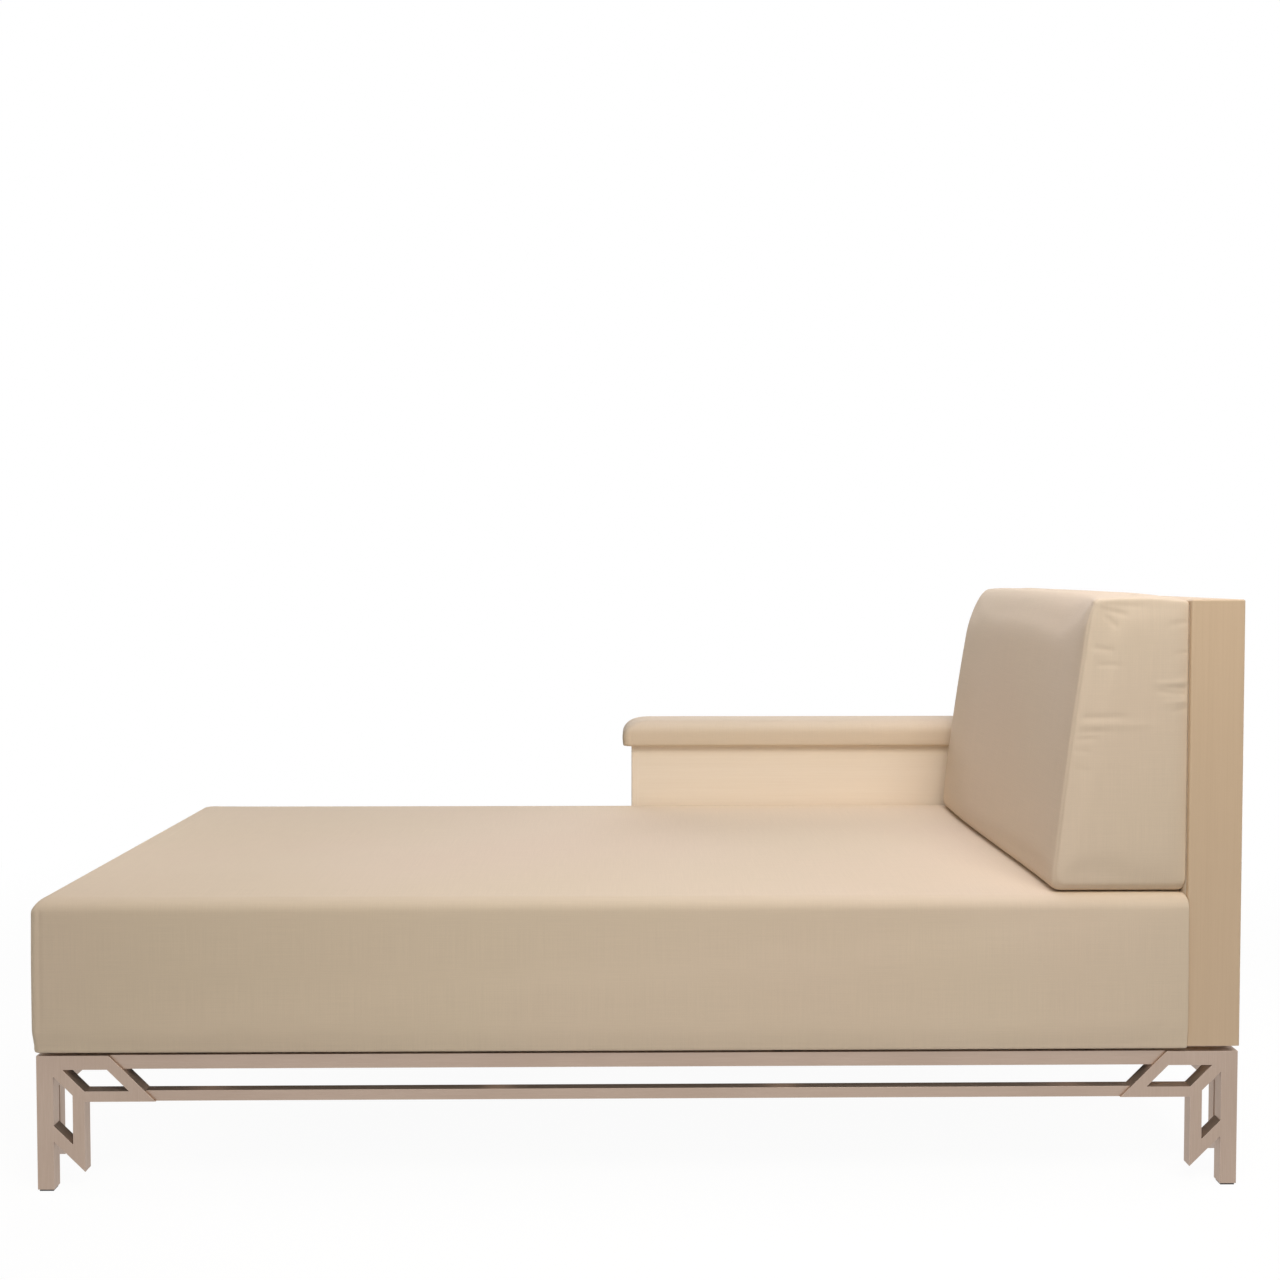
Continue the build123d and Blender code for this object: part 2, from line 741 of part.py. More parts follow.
def zip_slider():
    low = -zip_teeth_height - slider_clearance
    body = block(-slider_width / 2, slider_width / 2, 0, slider_length, -slider_height, -slider_clearance)
    channel_half = zip_teeth_width / 2 + slider_clearance
    body -= block(-channel_half, channel_half, 0, slider_length, low, 0)
    bridge_top = -slider_height - slider_bridge
    half = slider_tab_width / 2
    bridge = block(-half, half, 0, slider_tab_width, bridge_top, -slider_height)
    tab = block(-half, half, 0, slider_tab_length, bridge_top - slider_tab_thickness, bridge_top)
    start = -zip_length / 2 + slider_end_margin
    return on_chamfer(Pos(0, start, 0) * (body + bridge + tab))


def build_cushion():
    wall = cover_thickness
    slot = Box(zip_width, zip_length, zip_slot_depth)
    tape_width = zip_width - 2 * zip_gap
    tape_length = zip_length - 2 * zip_gap
    tape = Pos(0, 0, wall / 2) * Box(tape_width, tape_length, wall)
    teeth = Pos(0, 0, -zip_teeth_height / 2) * Box(zip_teeth_width, tape_length, zip_teeth_height)
    save("back_cushion_cover", cushion_form(0) - cushion_form(wall) - on_chamfer(slot))
    save("back_cushion_foam", cushion_form(wall + cushion_foam_gap))
    save("back_cushion_zip", on_chamfer(tape + teeth))
    save("zip_slider", zip_slider())


os.makedirs("parts", exist_ok=True)
build_base()
build_seat()
build_back()
build_arm()
build_bolts()
build_cap()
build_cushion()
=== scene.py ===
import math
import bpy
import numpy as np
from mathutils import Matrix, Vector


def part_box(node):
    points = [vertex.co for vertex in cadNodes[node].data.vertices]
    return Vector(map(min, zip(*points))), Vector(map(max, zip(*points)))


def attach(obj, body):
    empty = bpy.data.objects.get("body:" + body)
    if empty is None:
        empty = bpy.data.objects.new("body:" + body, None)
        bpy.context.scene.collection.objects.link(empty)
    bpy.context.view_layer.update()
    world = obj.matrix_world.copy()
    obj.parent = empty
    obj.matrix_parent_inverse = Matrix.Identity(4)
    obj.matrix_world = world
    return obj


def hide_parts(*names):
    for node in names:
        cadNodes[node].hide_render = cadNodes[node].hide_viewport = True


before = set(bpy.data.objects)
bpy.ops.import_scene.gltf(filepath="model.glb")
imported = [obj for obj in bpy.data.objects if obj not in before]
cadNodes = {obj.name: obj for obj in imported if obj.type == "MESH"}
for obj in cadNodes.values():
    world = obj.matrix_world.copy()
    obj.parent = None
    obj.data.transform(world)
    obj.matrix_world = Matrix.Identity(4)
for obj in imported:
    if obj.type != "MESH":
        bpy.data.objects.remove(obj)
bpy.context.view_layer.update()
print("frame loaded,", len(cadNodes), "pieces")


# camera, fitted to the corners of the photographed piece

cameraView = {
    "lens": 34.3125,                       # mm, on a 36 mm sensor
    "place": (-0.0201, -2.2459, 0.9372),
    "tiltDown": 1.69,                      # degrees
    "turnRight": 0.6245,
    "shiftY": -0.0249,
}

cameraData = bpy.data.cameras.new("studioCamera")
cameraData.lens = cameraView["lens"]
cameraData.sensor_width = 36.0
cameraData.shift_y = cameraView["shiftY"]
cameraData.clip_start, cameraData.clip_end = 0.05, 60.0
camera = bpy.data.objects.new("studioCamera", cameraData)
camera.location = cameraView["place"]
camera.rotation_euler = (math.radians(90 - cameraView["tiltDown"]), 0, -math.radians(cameraView["turnRight"]))
bpy.context.scene.collection.objects.link(camera)
bpy.context.scene.camera = camera
bpy.context.scene.view_settings.view_transform = "Standard"
print("camera placed")


# shader building

def screenColour(red, green, blue):       # 0-255 screen values to linear
    def linear(value):
        value /= 255.0
        return value / 12.92 if value <= 0.04045 else ((value + 0.055) / 1.055) ** 2.4
    return (linear(red), linear(green), linear(blue), 1.0)


def setInputs(tree, node, inputs):        # links sockets and sets plain values
    for name, value in inputs.items():
        if isinstance(value, bpy.types.NodeSocket):
            tree.links.new(value, node.inputs[name])
        else:
            node.inputs[name].default_value = value
    return node


def addNode(tree, kind, settings=None, inputs=None):
    node = tree.nodes.new("ShaderNode" + kind)
    for name, value in (settings or {}).items():
        setattr(node, name, value)
    return setInputs(tree, node, inputs or {})


def nodeOut(tree, kind, inputs=None):     # a plain node's first output
    return addNode(tree, kind, None, inputs).outputs[0]


def mathNode(tree, operation, first, second=0.0):
    return addNode(tree, "Math", {"operation": operation}, {0: first, 1: second}).outputs[0]


def times(tree, first, second):
    return mathNode(tree, "MULTIPLY", first, second)


def vectorMath(tree, operation, first, second):
    slot = 3 if operation == "SCALE" else 1
    return addNode(tree, "VectorMath", {"operation": operation}, {0: first, slot: second}).outputs[0]


def noise(tree, place, scale, detail, roughness=0.5):
    return nodeOut(tree, "TexNoise", {"Vector": place, "Scale": scale, "Detail": detail, "Roughness": roughness})


def bumpNode(tree, strength, depth, height):
    return nodeOut(tree, "Bump", {"Strength": strength, "Distance": depth, "Height": height})


def mixColour(tree, share, first, second, blend="MIX"):
    return addNode(tree, "Mix", {"data_type": "RGBA", "blend_type": blend}, {0: share, 6: first, 7: second}).outputs[2]


def mapRange(tree, value, fromLow, fromHigh, toLow=0.0, toHigh=1.0):
    return addNode(tree, "MapRange", {"interpolation_type": "SMOOTHSTEP"},
                   {0: value, 1: fromLow, 2: fromHigh, 3: toLow, 4: toHigh}).outputs[0]


def newGroup(name, inputs, outputs, outKind="NodeSocketFloat"):
    group = bpy.data.node_groups.new(name, "ShaderNodeTree")
    for label, start in inputs.items():
        kind = "NodeSocketVector" if isinstance(start, tuple) else "NodeSocketFloat"
        group.interface.new_socket(label, in_out="INPUT", socket_type=kind).default_value = start
    for label in outputs:
        group.interface.new_socket(label, in_out="OUTPUT", socket_type=outKind)
    return group, group.nodes.new("NodeGroupInput"), group.nodes.new("NodeGroupOutput")


def useGroup(tree, group, inputs):
    node = tree.nodes.new("ShaderNodeGroup")
    node.node_tree = group
    return setInputs(tree, node, inputs)


def newMaterial(name):
    material = bpy.data.materials.new(name)
    material.use_nodes = True
    tree = material.node_tree
    return material, tree, tree.nodes["Principled BSDF"]


# coordinates laid on a face by the way it points, so a weave needs no unwrapping
def makeFaceCoords():
    group, result = newGroup("faceCoords", {}, ["Across"], "NodeSocketVector")[::2]
    coords = addNode(group, "TexCoord")
    place = addNode(group, "SeparateXYZ", None, {0: coords.outputs["Object"]})
    facing = addNode(group, "SeparateXYZ", None, {0: coords.outputs["Normal"]})
    size = [mathNode(group, "ABSOLUTE", facing.outputs[i]) for i in range(3)]
    isTop = mathNode(group, "GREATER_THAN", size[2], mathNode(group, "MAXIMUM", size[0], size[1]))
    isEnd = mathNode(group, "GREATER_THAN", size[0], size[1])
    x, y, z = place.outputs

    def pair(first, second):
        return nodeOut(group, "CombineXYZ", {0: first, 1: second})

    def choose(share, first, second):
        return addNode(group, "Mix", {"data_type": "VECTOR"}, {0: share, 4: first, 5: second}).outputs[1]
    side = choose(isEnd, pair(x, z), pair(y, z))
    setInputs(group, result, {"Across": choose(isTop, side, pair(x, y))})
    return group


# plain weave: threads over and under, with thicker slub threads running both ways, and a mask of the low places between
# threads for painted shade
def makeWeave(faceCoords):
    group, entry, result = newGroup("plainWeave", {"Threads": 800.0}, ["Height", "Slub", "GapShade"])
    across = useGroup(group, faceCoords, {}).outputs["Across"]
    scaled = vectorMath(group, "SCALE", across, entry.outputs["Threads"])
    parts = addNode(group, "SeparateXYZ", None, {0: scaled}).outputs
    warp, weft = [mathNode(group, "SINE", times(group, part, math.pi)) for part in parts[:2]]
    over = mapRange(group, times(group, warp, weft), -0.25, 0.25)
    warpUp, weftUp = mathNode(group, "ABSOLUTE", warp), mathNode(group, "ABSOLUTE", weft)
    height = addNode(group, "Mix", {"data_type": "FLOAT"}, {0: over, 2: weftUp, 3: warpUp}).outputs[0]
    # long one way, a thread wide the other
    slubs = [noise(group, vectorMath(group, "MULTIPLY", across, stretch), 1.0, 2.0)
             for stretch in ((12.0, 900.0, 1.0), (900.0, 12.0, 1.0))]
    slub = times(group, mathNode(group, "ADD", *slubs), 0.5)
    # low places between the threads, where shade is painted into the cloth
    gap = mapRange(group, height, 0.15, 0.5, 1.0, 0.0)
    setInputs(group, result, {"Height": height, "Slub": slub, "GapShade": gap})
    return group


# broad soft variation of colour over a whole piece
def makeMottle():
    group, entry, result = newGroup("softMottle", {"Size": 0.2, "Seed": 0.0}, ["Mask"])
    place = addNode(group, "TexCoord").outputs["Object"]
    shift = nodeOut(group, "CombineXYZ", {0: entry.outputs["Seed"]})
    moved = vectorMath(group, "ADD", place, shift)
    patch = noise(group, moved, mathNode(group, "DIVIDE", 1.0, entry.outputs["Size"]), 3.0, 0.45)
    setInputs(group, result, {"Mask": mapRange(group, patch, 0.3, 0.7)})
    return group


# fine lines drawn out along one direction, for veneer and for satin metal
def makeStreaks():
    inputs = {"Stretch": (1.0, 1.0, 1.0), "Detail": 4.0}
    group, entry, result = newGroup("drawnStreaks", inputs, ["Line", "Broad"])
    place = addNode(group, "TexCoord").outputs["Object"]
    run = vectorMath(group, "MULTIPLY", place, entry.outputs["Stretch"])
    broad = noise(group, vectorMath(group, "SCALE", run, 0.12), 1.0, 2.0)
    setInputs(group, result, {"Line": noise(group, run, 1.0, entry.outputs["Detail"], 0.6), "Broad": broad})
    return group


# where a rigid piece turns a corner, for a painted highlight along its edges
def makeEdgeHighlight():
    group, entry, result = newGroup("edgeHighlight", {"Width": 0.002}, ["Mask"])
    rounded = addNode(group, "Bevel", {"samples": 4}, {"Radius": entry.outputs["Width"]}).outputs[0]
    plain = addNode(group, "NewGeometry").outputs["Normal"]
    turn = addNode(group, "VectorMath", {"operation": "DOT_PRODUCT"}, {0: rounded, 1: plain}).outputs["Value"]
    setInputs(group, result, {"Mask": mapRange(group, turn, 0.98, 0.8)})
    return group


faceCoords = makeFaceCoords()
weave = makeWeave(faceCoords)
mottle = makeMottle()
streaks = makeStreaks()
edgeHighlight = makeEdgeHighlight()


upholsteryLook = {
    "main": (225, 207, 186),
    "warm": (224, 203, 183),
    "olive": (220, 204, 179),
    "warmSize": 0.35, "oliveSize": 0.5, "patchShare": 0.5,    # patches of the two other tones
    "threads": 760.0,            # threads per metre
    "threadTone": (0.975, 1.02),
    # painted shade between the threads: its share, and how dark its colour is
    "gapShade": 0.10, "gapShadeTone": 0.55,
    "slubRough": 0.12, "slubLift": 0.8,
    "bump": 0.22, "bumpDepth": 0.0006,
    "roughness": 0.82,
    "specular": 0.25, "sheen": 0.02, "sheenRough": 0.5,
}


def clothMaterial(name, look):
    material, tree, shader = newMaterial(name)
    height, slub, gap = useGroup(tree, weave, {"Threads": look["threads"]}).outputs
    colour = screenColour(*look["main"])
    for tone, seed in (("warm", 3.0), ("olive", 9.0)):
        patch = useGroup(tree, mottle, {"Size": look[tone + "Size"], "Seed": seed}).outputs[0]
        colour = mixColour(tree, times(tree, patch, look["patchShare"]), colour, screenColour(*look[tone]))
    thread = mapRange(tree, slub, 0.35, 0.65, *look["threadTone"])
    grey = nodeOut(tree, "CombineColor", {0: thread, 1: thread, 2: thread})
    colour = mixColour(tree, 1.0, colour, grey, "MULTIPLY")
    # a darker copy of the olive tone, painted as shade between the threads
    deep = screenColour(*[value * look["gapShadeTone"] for value in look["olive"]])
    rough = mathNode(tree, "ADD", times(tree, slub, look["slubRough"]), look["roughness"] - look["slubRough"] / 2)
    lift = mathNode(tree, "ADD", height, times(tree, slub, look["slubLift"]))
    setInputs(tree, shader, {
        "Base Color": mixColour(tree, times(tree, gap, look["gapShade"]), colour, deep), "Roughness": rough,
        "Normal": bumpNode(tree, look["bump"], look["bumpDepth"], lift), "Specular IOR Level": look["specular"],
        "Sheen Weight": look["sheen"], "Sheen Roughness": look["sheenRough"]})
    return material


# looks of the hard pieces, pale and deep being their two tones; the lighter edge colour is a painted highlight
veneerLook = {
    "roughness": 0.46, "roughSpread": (-0.05, 0.09), "metallic": 0.0, "coat": 0.12, "coatRough": 0.35,
    "stretch": (700.0, 7.0), "detail": 5.0,                  # streaks: how close across and along the grain
    "line": (0.4, 0.75, 0.35), "broad": (0.35, 0.7, 0.2),    # from, to, share of the deep tone
    "patch": (0.3, 5.0, 0.2), "highlightEdge": (0.0016, 0.6),      # size, seed, share; width, share of the painted edge highlight
    "bump": 0.12, "bumpDepth": 0.0003,
}
panelLook = {**veneerLook, "pale": (244, 231, 214), "deep": (236, 221, 202), "paintedHighlight": (246, 237, 223)}
lippingLook = {**veneerLook, "pale": (212, 187, 158), "deep": (203, 177, 147), "paintedHighlight": (226, 206, 182)}
baseMetalLook = {
    "pale": (186, 166, 151), "deep": (172, 151, 136), "paintedHighlight": (214, 198, 184),
    "roughness": 0.42, "roughSpread": (-0.06, 0.08), "metallic": 0.85,
    "stretch": (1500.0, 20.0), "detail": 3.0, "line": (0.3, 0.7, 0.4), "patch": (0.12, 2.0, 0.35),
    "highlightEdge": (0.0012, 0.7), "bump": 0.08, "bumpDepth": 0.0002,
}
plainLook = {
    "roughSpread": (-0.06, 0.06), "detail": 4.0, "line": (0.35, 0.7, 0.7), "patch": (0.15, 7.0, 0.25),
    "bumpDepth": 0.0004,
}


# two tones broken by streaks and patches, with a painted highlight along the edges where the look says so
def grainedMaterial(name, look, along):
    material, tree, shader = newMaterial(name)
    across, lengthwise = look["stretch"]
    stretch = [lengthwise if axis == along else across for axis in "xyz"]
    line, broad = useGroup(tree, streaks, {"Stretch": stretch, "Detail": look["detail"]}).outputs
    size, seed, patchShare = look["patch"]
    patch = times(tree, useGroup(tree, mottle, {"Size": size, "Seed": seed}).outputs[0], patchShare)

    def part(value, low, high, most):
        return mapRange(tree, value, low, high, 0.0, most)
    share = part(line, *look["line"])
    if "broad" in look:
        share = mathNode(tree, "ADD", share, part(broad, *look["broad"]))
    pale, deep = screenColour(*look["pale"]), screenColour(*look["deep"])
    # painted highlight: a lighter colour laid along the edges
    if "paintedHighlight" in look:
        width, highlightShare = look["highlightEdge"]
        paintedHighlight = times(tree, useGroup(tree, edgeHighlight, {"Width": width}).outputs[0], highlightShare)
        colour = mixColour(tree, patch, mixColour(tree, share, pale, deep), deep)
        colour = mixColour(tree, paintedHighlight, colour, screenColour(*look["paintedHighlight"]))
    else:
        colour = mixColour(tree, mathNode(tree, "ADD", share, patch), pale, deep)
    rough = mapRange(tree, line, 0.3, 0.7, *[look["roughness"] + change for change in look["roughSpread"]])
    setInputs(tree, shader, {"Base Color": colour, "Roughness": rough, "Metallic": look["metallic"],
                             "Normal": bumpNode(tree, look["bump"], look["bumpDepth"], line)})
    if "coat" in look:
        setInputs(tree, shader, {"Coat Weight": look["coat"], "Coat Roughness": look["coatRough"]})
    return material


# inner and small pieces
def plainStuff(name, pale, deep, roughness, metallic, stretch, bump):
    return grainedMaterial(name, {**plainLook, "pale": pale, "deep": deep, "roughness": roughness,
                                  "metallic": metallic, "stretch": stretch, "bump": bump}, "z")


seatCloth = clothMaterial("upholsteryCloth", upholsteryLook)
backVeneer = grainedMaterial("panelVeneerUpright", panelLook, "z")
armVeneer = grainedMaterial("panelVeneerLong", panelLook, "x")
uprightLipping = grainedMaterial("lippingUpright", lippingLook, "z")
acrossLipping = grainedMaterial("lippingAcross", lippingLook, "y")
metalUpright = grainedMaterial("baseMetalUpright", baseMetalLook, "z")
metalLong = grainedMaterial("baseMetalLong", baseMetalLook, "x")
metalAcross = grainedMaterial("baseMetalAcross", baseMetalLook, "y")
frameTimber = plainStuff("frameTimber", (206, 172, 126), (178, 140, 96), 0.6, 0.0, (240.0, 8.0), 0.2)
strapWebbing = plainStuff("strapWebbing", (196, 180, 150), (120, 104, 84), 0.85, 0.0, (600.0, 600.0), 0.4)
fixingSteel = plainStuff("fixingSteel", (176, 176, 178), (140, 140, 142), 0.35, 1.0, (400.0, 400.0), 0.05)
insertBrass = plainStuff("insertBrass", (214, 186, 112), (176, 146, 80), 0.35, 1.0, (400.0, 400.0), 0.05)
dustFelt = plainStuff("dustFelt", (46, 44, 43), (31, 30, 30), 0.92, 0.0, (900.0, 900.0), 0.3)
glideNylon = plainStuff("glideNylon", (58, 54, 52), (44, 41, 40), 0.55, 0.0, (500.0, 500.0), 0.15)
print("materials made")


# CAD pieces that stay: finish and slightly eased edges

metalEase, lippingEase = 0.0009, 0.0008    # metres
cadFinish = [                              # first words of the pieces' names, finish, eased edge; the first that fits
    (("leg_plate", "end_plate"), metalUpright, metalEase),
    (("upper_rail_front", "upper_rail_rear", "lower_rail_front", "lower_rail_rear"), metalLong, metalEase),
    (("upper_rail", "lower_rail", "cross_bars"), metalAcross, metalEase),
    (("back_inner_skin", "back_outer_skin", "arm_foot_lipping"), backVeneer, 0.0),
    (("arm_inner_skin", "arm_outer_skin"), armVeneer, 0.0),
    (("back_front_lipping", "back_rear_lipping"), uprightLipping, lippingEase),
    (("back_top_lipping",), acrossLipping, lippingEase),
    (("seat_cross_webbing", "seat_long_webbing"), strapWebbing, 0.0),
    (("leg_glides", "spacer_pads"), glideNylon, 0.0),
    (("panel_inserts",), insertBrass, 0.0),
    (("rail_pins", "base_screws", "panel_bolts", "arm_cap_screws", "zip_slider"), fixingSteel, 0.0),
]
softEndings = ("_cover", "_foam", "_zip")    # replaced further down


def addModifier(piece, name, kind, **settings):
    modifier = piece.modifiers.new(name, kind)
    for setting, value in settings.items():
        setattr(modifier, setting, value)
    return modifier


def easeEdges(piece, width):
    addModifier(piece, "joinCorners", "WELD", merge_threshold=0.00002)
    addModifier(piece, "wholeFaces", "DECIMATE", decimate_type="DISSOLVE", angle_limit=math.radians(0.5))
    addModifier(piece, "easedEdges", "BEVEL", width=width, segments=2, limit_method="ANGLE",
                angle_limit=math.radians(35), use_clamp_overlap=True)
    addModifier(piece, "evenShading", "WEIGHTED_NORMAL", keep_sharp=False, weight=100)


for name, piece in cadNodes.items():
    if name.endswith(softEndings):
        continue
    fits = [row[1:] for row in cadFinish if name.startswith(row[0])] + [(frameTimber, 0.0)]
    finish, easeWidth = fits[0]
    piece.data.materials.clear()
    piece.data.materials.append(finish)
    if easeWidth:
        easeEdges(piece, easeWidth)
print("finishes set")


# mesh building for the soft pieces

def smoothStep(value, low, high):
    share = np.clip((np.asarray(value, float) - low) / (high - low), 0.0, 1.0)
    return share * share * (3.0 - 2.0 * share)


def newMesh(name, points, faces, material):
    mesh = bpy.data.meshes.new(name)
    mesh.from_pydata([tuple(point) for point in points], [], [tuple(face) for face in faces])
    mesh.update()
    mesh.polygons.foreach_set("use_smooth", [True] * len(mesh.polygons))
    piece = bpy.data.objects.new(name, mesh)
    piece.data.materials.append(material)
    bpy.context.scene.collection.objects.link(piece)
    return piece


def readVectors(items, what):
    flat = np.zeros(len(items) * 3)
    items.foreach_get(what, flat)
    return flat.reshape(-1, 3)


def readPoints(mesh):
    return readVectors(mesh.vertices, "co")


def readNormals(mesh):
    return readVectors(mesh.vertex_normals, "vector")


def writePoints(piece, points):
    piece.data.vertices.foreach_set("co", np.asarray(points, float).ravel())
    piece.data.update()


# outline of a box in plan, as four sides that meet in the middle of its rounded corners
def planSides(x0, x1, y0, y1, footRound, headRound, runX, runY, arcSteps):
    corners = [(x0 + footRound, y0 + footRound, footRound), (x1 - headRound, y0 + headRound, headRound),
               (x1 - headRound, y1 - headRound, headRound), (x0 + footRound, y1 - footRound, footRound)]

    def arc(corner, start):
        cx, cy, radius = corners[corner]
        turns = np.radians(start + np.linspace(0.0, 45.0, arcSteps + 1))
        return [(cx + radius * math.cos(turn), cy + radius * math.sin(turn)) for turn in turns]

    sides = []
    for side, run in enumerate((runX, runY, 1.0 - runX[::-1], 1.0 - runY[::-1])):
        opening = arc(side, 225 + 90 * side)
        closing = arc((side + 1) % 4, 270 + 90 * side)
        start, end = np.array(opening[-1]), np.array(closing[0])
        straight = [tuple(start + (end - start) * share) for share in run[1:-1]]
        sides.append(np.array(opening + straight + closing))
    return sides


def lengthAlong(line):                    # how far along a line each of its points is
    return np.concatenate(([0.0], np.linalg.norm(np.diff(line, axis=0), axis=1).cumsum()))


# grid that fills the loop made by four sides
def fillGrid(sides):
    front, head, rear, foot = sides[0], sides[1], sides[2][::-1], sides[3][::-1]
    u, v = lengthAlong(front), lengthAlong(foot)
    u, v = (u / u[-1])[:, None, None], (v / v[-1])[None, :, None]
    edges = (1 - v) * front[:, None] + v * rear[:, None] + (1 - u) * foot[None] + u * head[None]
    corners = (1 - u) * (1 - v) * front[0] + u * (1 - v) * front[-1] + (1 - u) * v * rear[0] + u * v * rear[-1]
    return edges - corners


def ringOf(sides):
    return np.concatenate([side[:-1] for side in sides])


def tubeFaces(first, count, gaps):        # faces between rings of equal count
    return [(low + i, low + (i + 1) % count, low + count + (i + 1) % count, low + count + i)
            for low in range(first, first + gaps * count, count) for i in range(count)]


# stacks rings, each given by its sides, then closes both ends with grids
def stackRings(allSides, lowPush=None, highPush=None):
    rings = [ringOf(sides) for sides in allSides]
    points = [point for ring in rings for point in ring]
    count = len(rings[0])
    faces = tubeFaces(0, count, len(rings) - 1)
    last = len(points) - count
    for sides, base, flip, push in ((allSides[0], 0, True, lowPush), (allSides[-1], last, False, highPush)):
        grid = fillGrid(sides)
        nu, nv = grid.shape[0] - 1, grid.shape[1] - 1
        ring = base + np.arange(count)
        index = np.empty((nu + 1, nv + 1), int)
        index[:-1, 0], index[-1, :-1] = ring[:nu], ring[nu:nu + nv]
        index[:0:-1, -1], index[0, :0:-1] = ring[nu + nv:2 * nu + nv], ring[2 * nu + nv:]
        index[1:-1, 1:-1] = len(points) + np.arange((nu - 1) * (nv - 1)).reshape(nu - 1, nv - 1)
        inner = grid[1:-1, 1:-1].reshape(-1, 3)
        points.extend(inner if push is None else map(push, inner))
        quads = np.stack((index[:-1, :-1], index[1:, :-1], index[1:, 1:], index[:-1, 1:]), axis=-1).reshape(-1, 4)
        faces.extend(quads[:, ::-1] if flip else quads)
    return np.array(points), faces


def evenRun(length, step):
    return np.linspace(0.0, 1.0, max(2, int(round(length / step))) + 1)


def finerNear(run, length, spot, reach, step):    # more lines on a run, close to one distance along it
    lines = {line for line in np.round(run * length, 5) if abs(line - spot) > reach or line in (0.0, round(length, 5))}
    extra = np.arange(spot - reach, spot + reach + step / 2, step)
    lines |= {round(float(line), 5) for line in extra if step / 2 < line < length - step / 2}
    return np.array(sorted(lines)) / length


# shares each point's move with its neighbours, so no sharp crumple is left
def evened(mesh, move, rounds):
    pairs = np.zeros(len(mesh.edges) * 2, int)
    mesh.edges.foreach_get("vertices", pairs)
    pairs = pairs.reshape(-1, 2)
    count = np.bincount(pairs.ravel(), minlength=len(move))[:, None]
    for turn in range(rounds):
        total = np.zeros_like(move)
        np.add.at(total, pairs[:, 0], move[pairs[:, 1]])
        np.add.at(total, pairs[:, 1], move[pairs[:, 0]])
        move = 0.5 * move + 0.5 * total / count
    return move


# lets a closed mesh swell like stuffed cloth, with some points held
def swell(piece, held, look):
    start = readPoints(piece.data)
    group = piece.vertex_groups.new(name="held")
    group.add([int(i) for i in held], 1.0, "REPLACE")
    cloth = addModifier(piece, "swell", "CLOTH")
    tension = look["tension"]
    settings = {"quality": 5, "mass": 0.3, "tension_stiffness": tension, "compression_stiffness": tension,
                "shear_stiffness": tension * 0.4, "bending_stiffness": look["bending"], "use_pressure": True,
                "uniform_pressure_force": look["pressure"], "vertex_group_mass": "held"}
    for setting, value in settings.items():
        setattr(cloth.settings, setting, value)
    cloth.settings.effector_weights.gravity = 0.0
    cloth.collision_settings.use_collision = False
    cloth.point_cache.frame_start, cloth.point_cache.frame_end = 1, look["frames"]
    scene = bpy.context.scene
    for step in range(1, look["frames"] + 1):
        scene.frame_set(step)
    shaped = piece.evaluated_get(bpy.context.evaluated_depsgraph_get())
    move = readPoints(shaped.data) - start
    piece.modifiers.remove(cloth)
    piece.vertex_groups.remove(group)
    scene.frame_set(1)
    outward = readNormals(piece.data)
    lift = np.sum(move * outward, axis=1, keepdims=True)
    print(piece.name, "swelled up to", round(float(lift.max()) * 1000, 1), "mm")
    lift = evened(piece.data, np.clip(lift, 0.0, look["limit"]), look["settle"])
    writePoints(piece, start + outward * lift)


def smoothed(piece):                     # one subdivision, left as a modifier
    return addModifier(piece, "smoothed", "SUBSURF", levels=1, render_levels=1)


def refined(piece):                      # one subdivision, worked into the mesh
    finer = smoothed(piece)
    bpy.context.view_layer.update()
    shaped = piece.evaluated_get(bpy.context.evaluated_depsgraph_get())
    mesh = bpy.data.meshes.new_from_object(shaped)
    piece.modifiers.remove(finer)
    piece.data = mesh


# presses creases and pleats into a mesh: each line has two ends, a width and a depth, outward when above zero
def pressLines(piece, lines):
    points = readPoints(piece.data)
    push = np.zeros(len(points))
    for start, end, width, depth, fadeIn, fadeOut in lines:
        start, run = np.array(start), np.array(end) - np.array(start)
        share = np.clip(((points - start) @ run) / (run @ run), 0.0, 1.0)
        gap = np.linalg.norm(points - start - share[:, None] * run, axis=1)
        fade = np.ones(len(points))
        if fadeIn:
            fade *= smoothStep(share, 0.0, fadeIn)
        if fadeOut:
            fade *= smoothStep(1.0 - share, 0.0, fadeOut)
        push += depth * fade * np.exp(-(gap / width) ** 2)
    writePoints(piece, points + readNormals(piece.data) * push[:, None])


# closed pad: hem turned under, rolled lower edge, walls a little proud, round top rim, square head end

padLook = {                       # what the seat and the cap have in common
    "headGap": 0.0004,
    "hemLip": 0.0025,             # how far the hem's inner edge stands up
    "hemRows": ((0.008, 0.4), (0.002, 0.9)),                     # inset, share of the droop
    "footHem": 0.35, "hemRound": 0.15,
    "rollWide": 0.0022,
    "topDraw": 0.3,               # share of their stand that the walls lose towards the top
    "rowStep": 0.006, "wallFrom": 0.014, "lowStep": 0.002, "sagFade": 0.02,    # finer rows up to wallFrom
    "endLines": (0.012, 0.003), "sideLines": (0.010, 0.0035),    # reach and step of the finer lines by the corners
    "underTurns": 4, "rimTurns": 9, "cornerTurns": 3,
    "heldLow": 1.5, "heldEnd": 0.004,                            # held while it swells
    "pressure": 3.0, "tension": 25.0, "bending": 1.5,
}


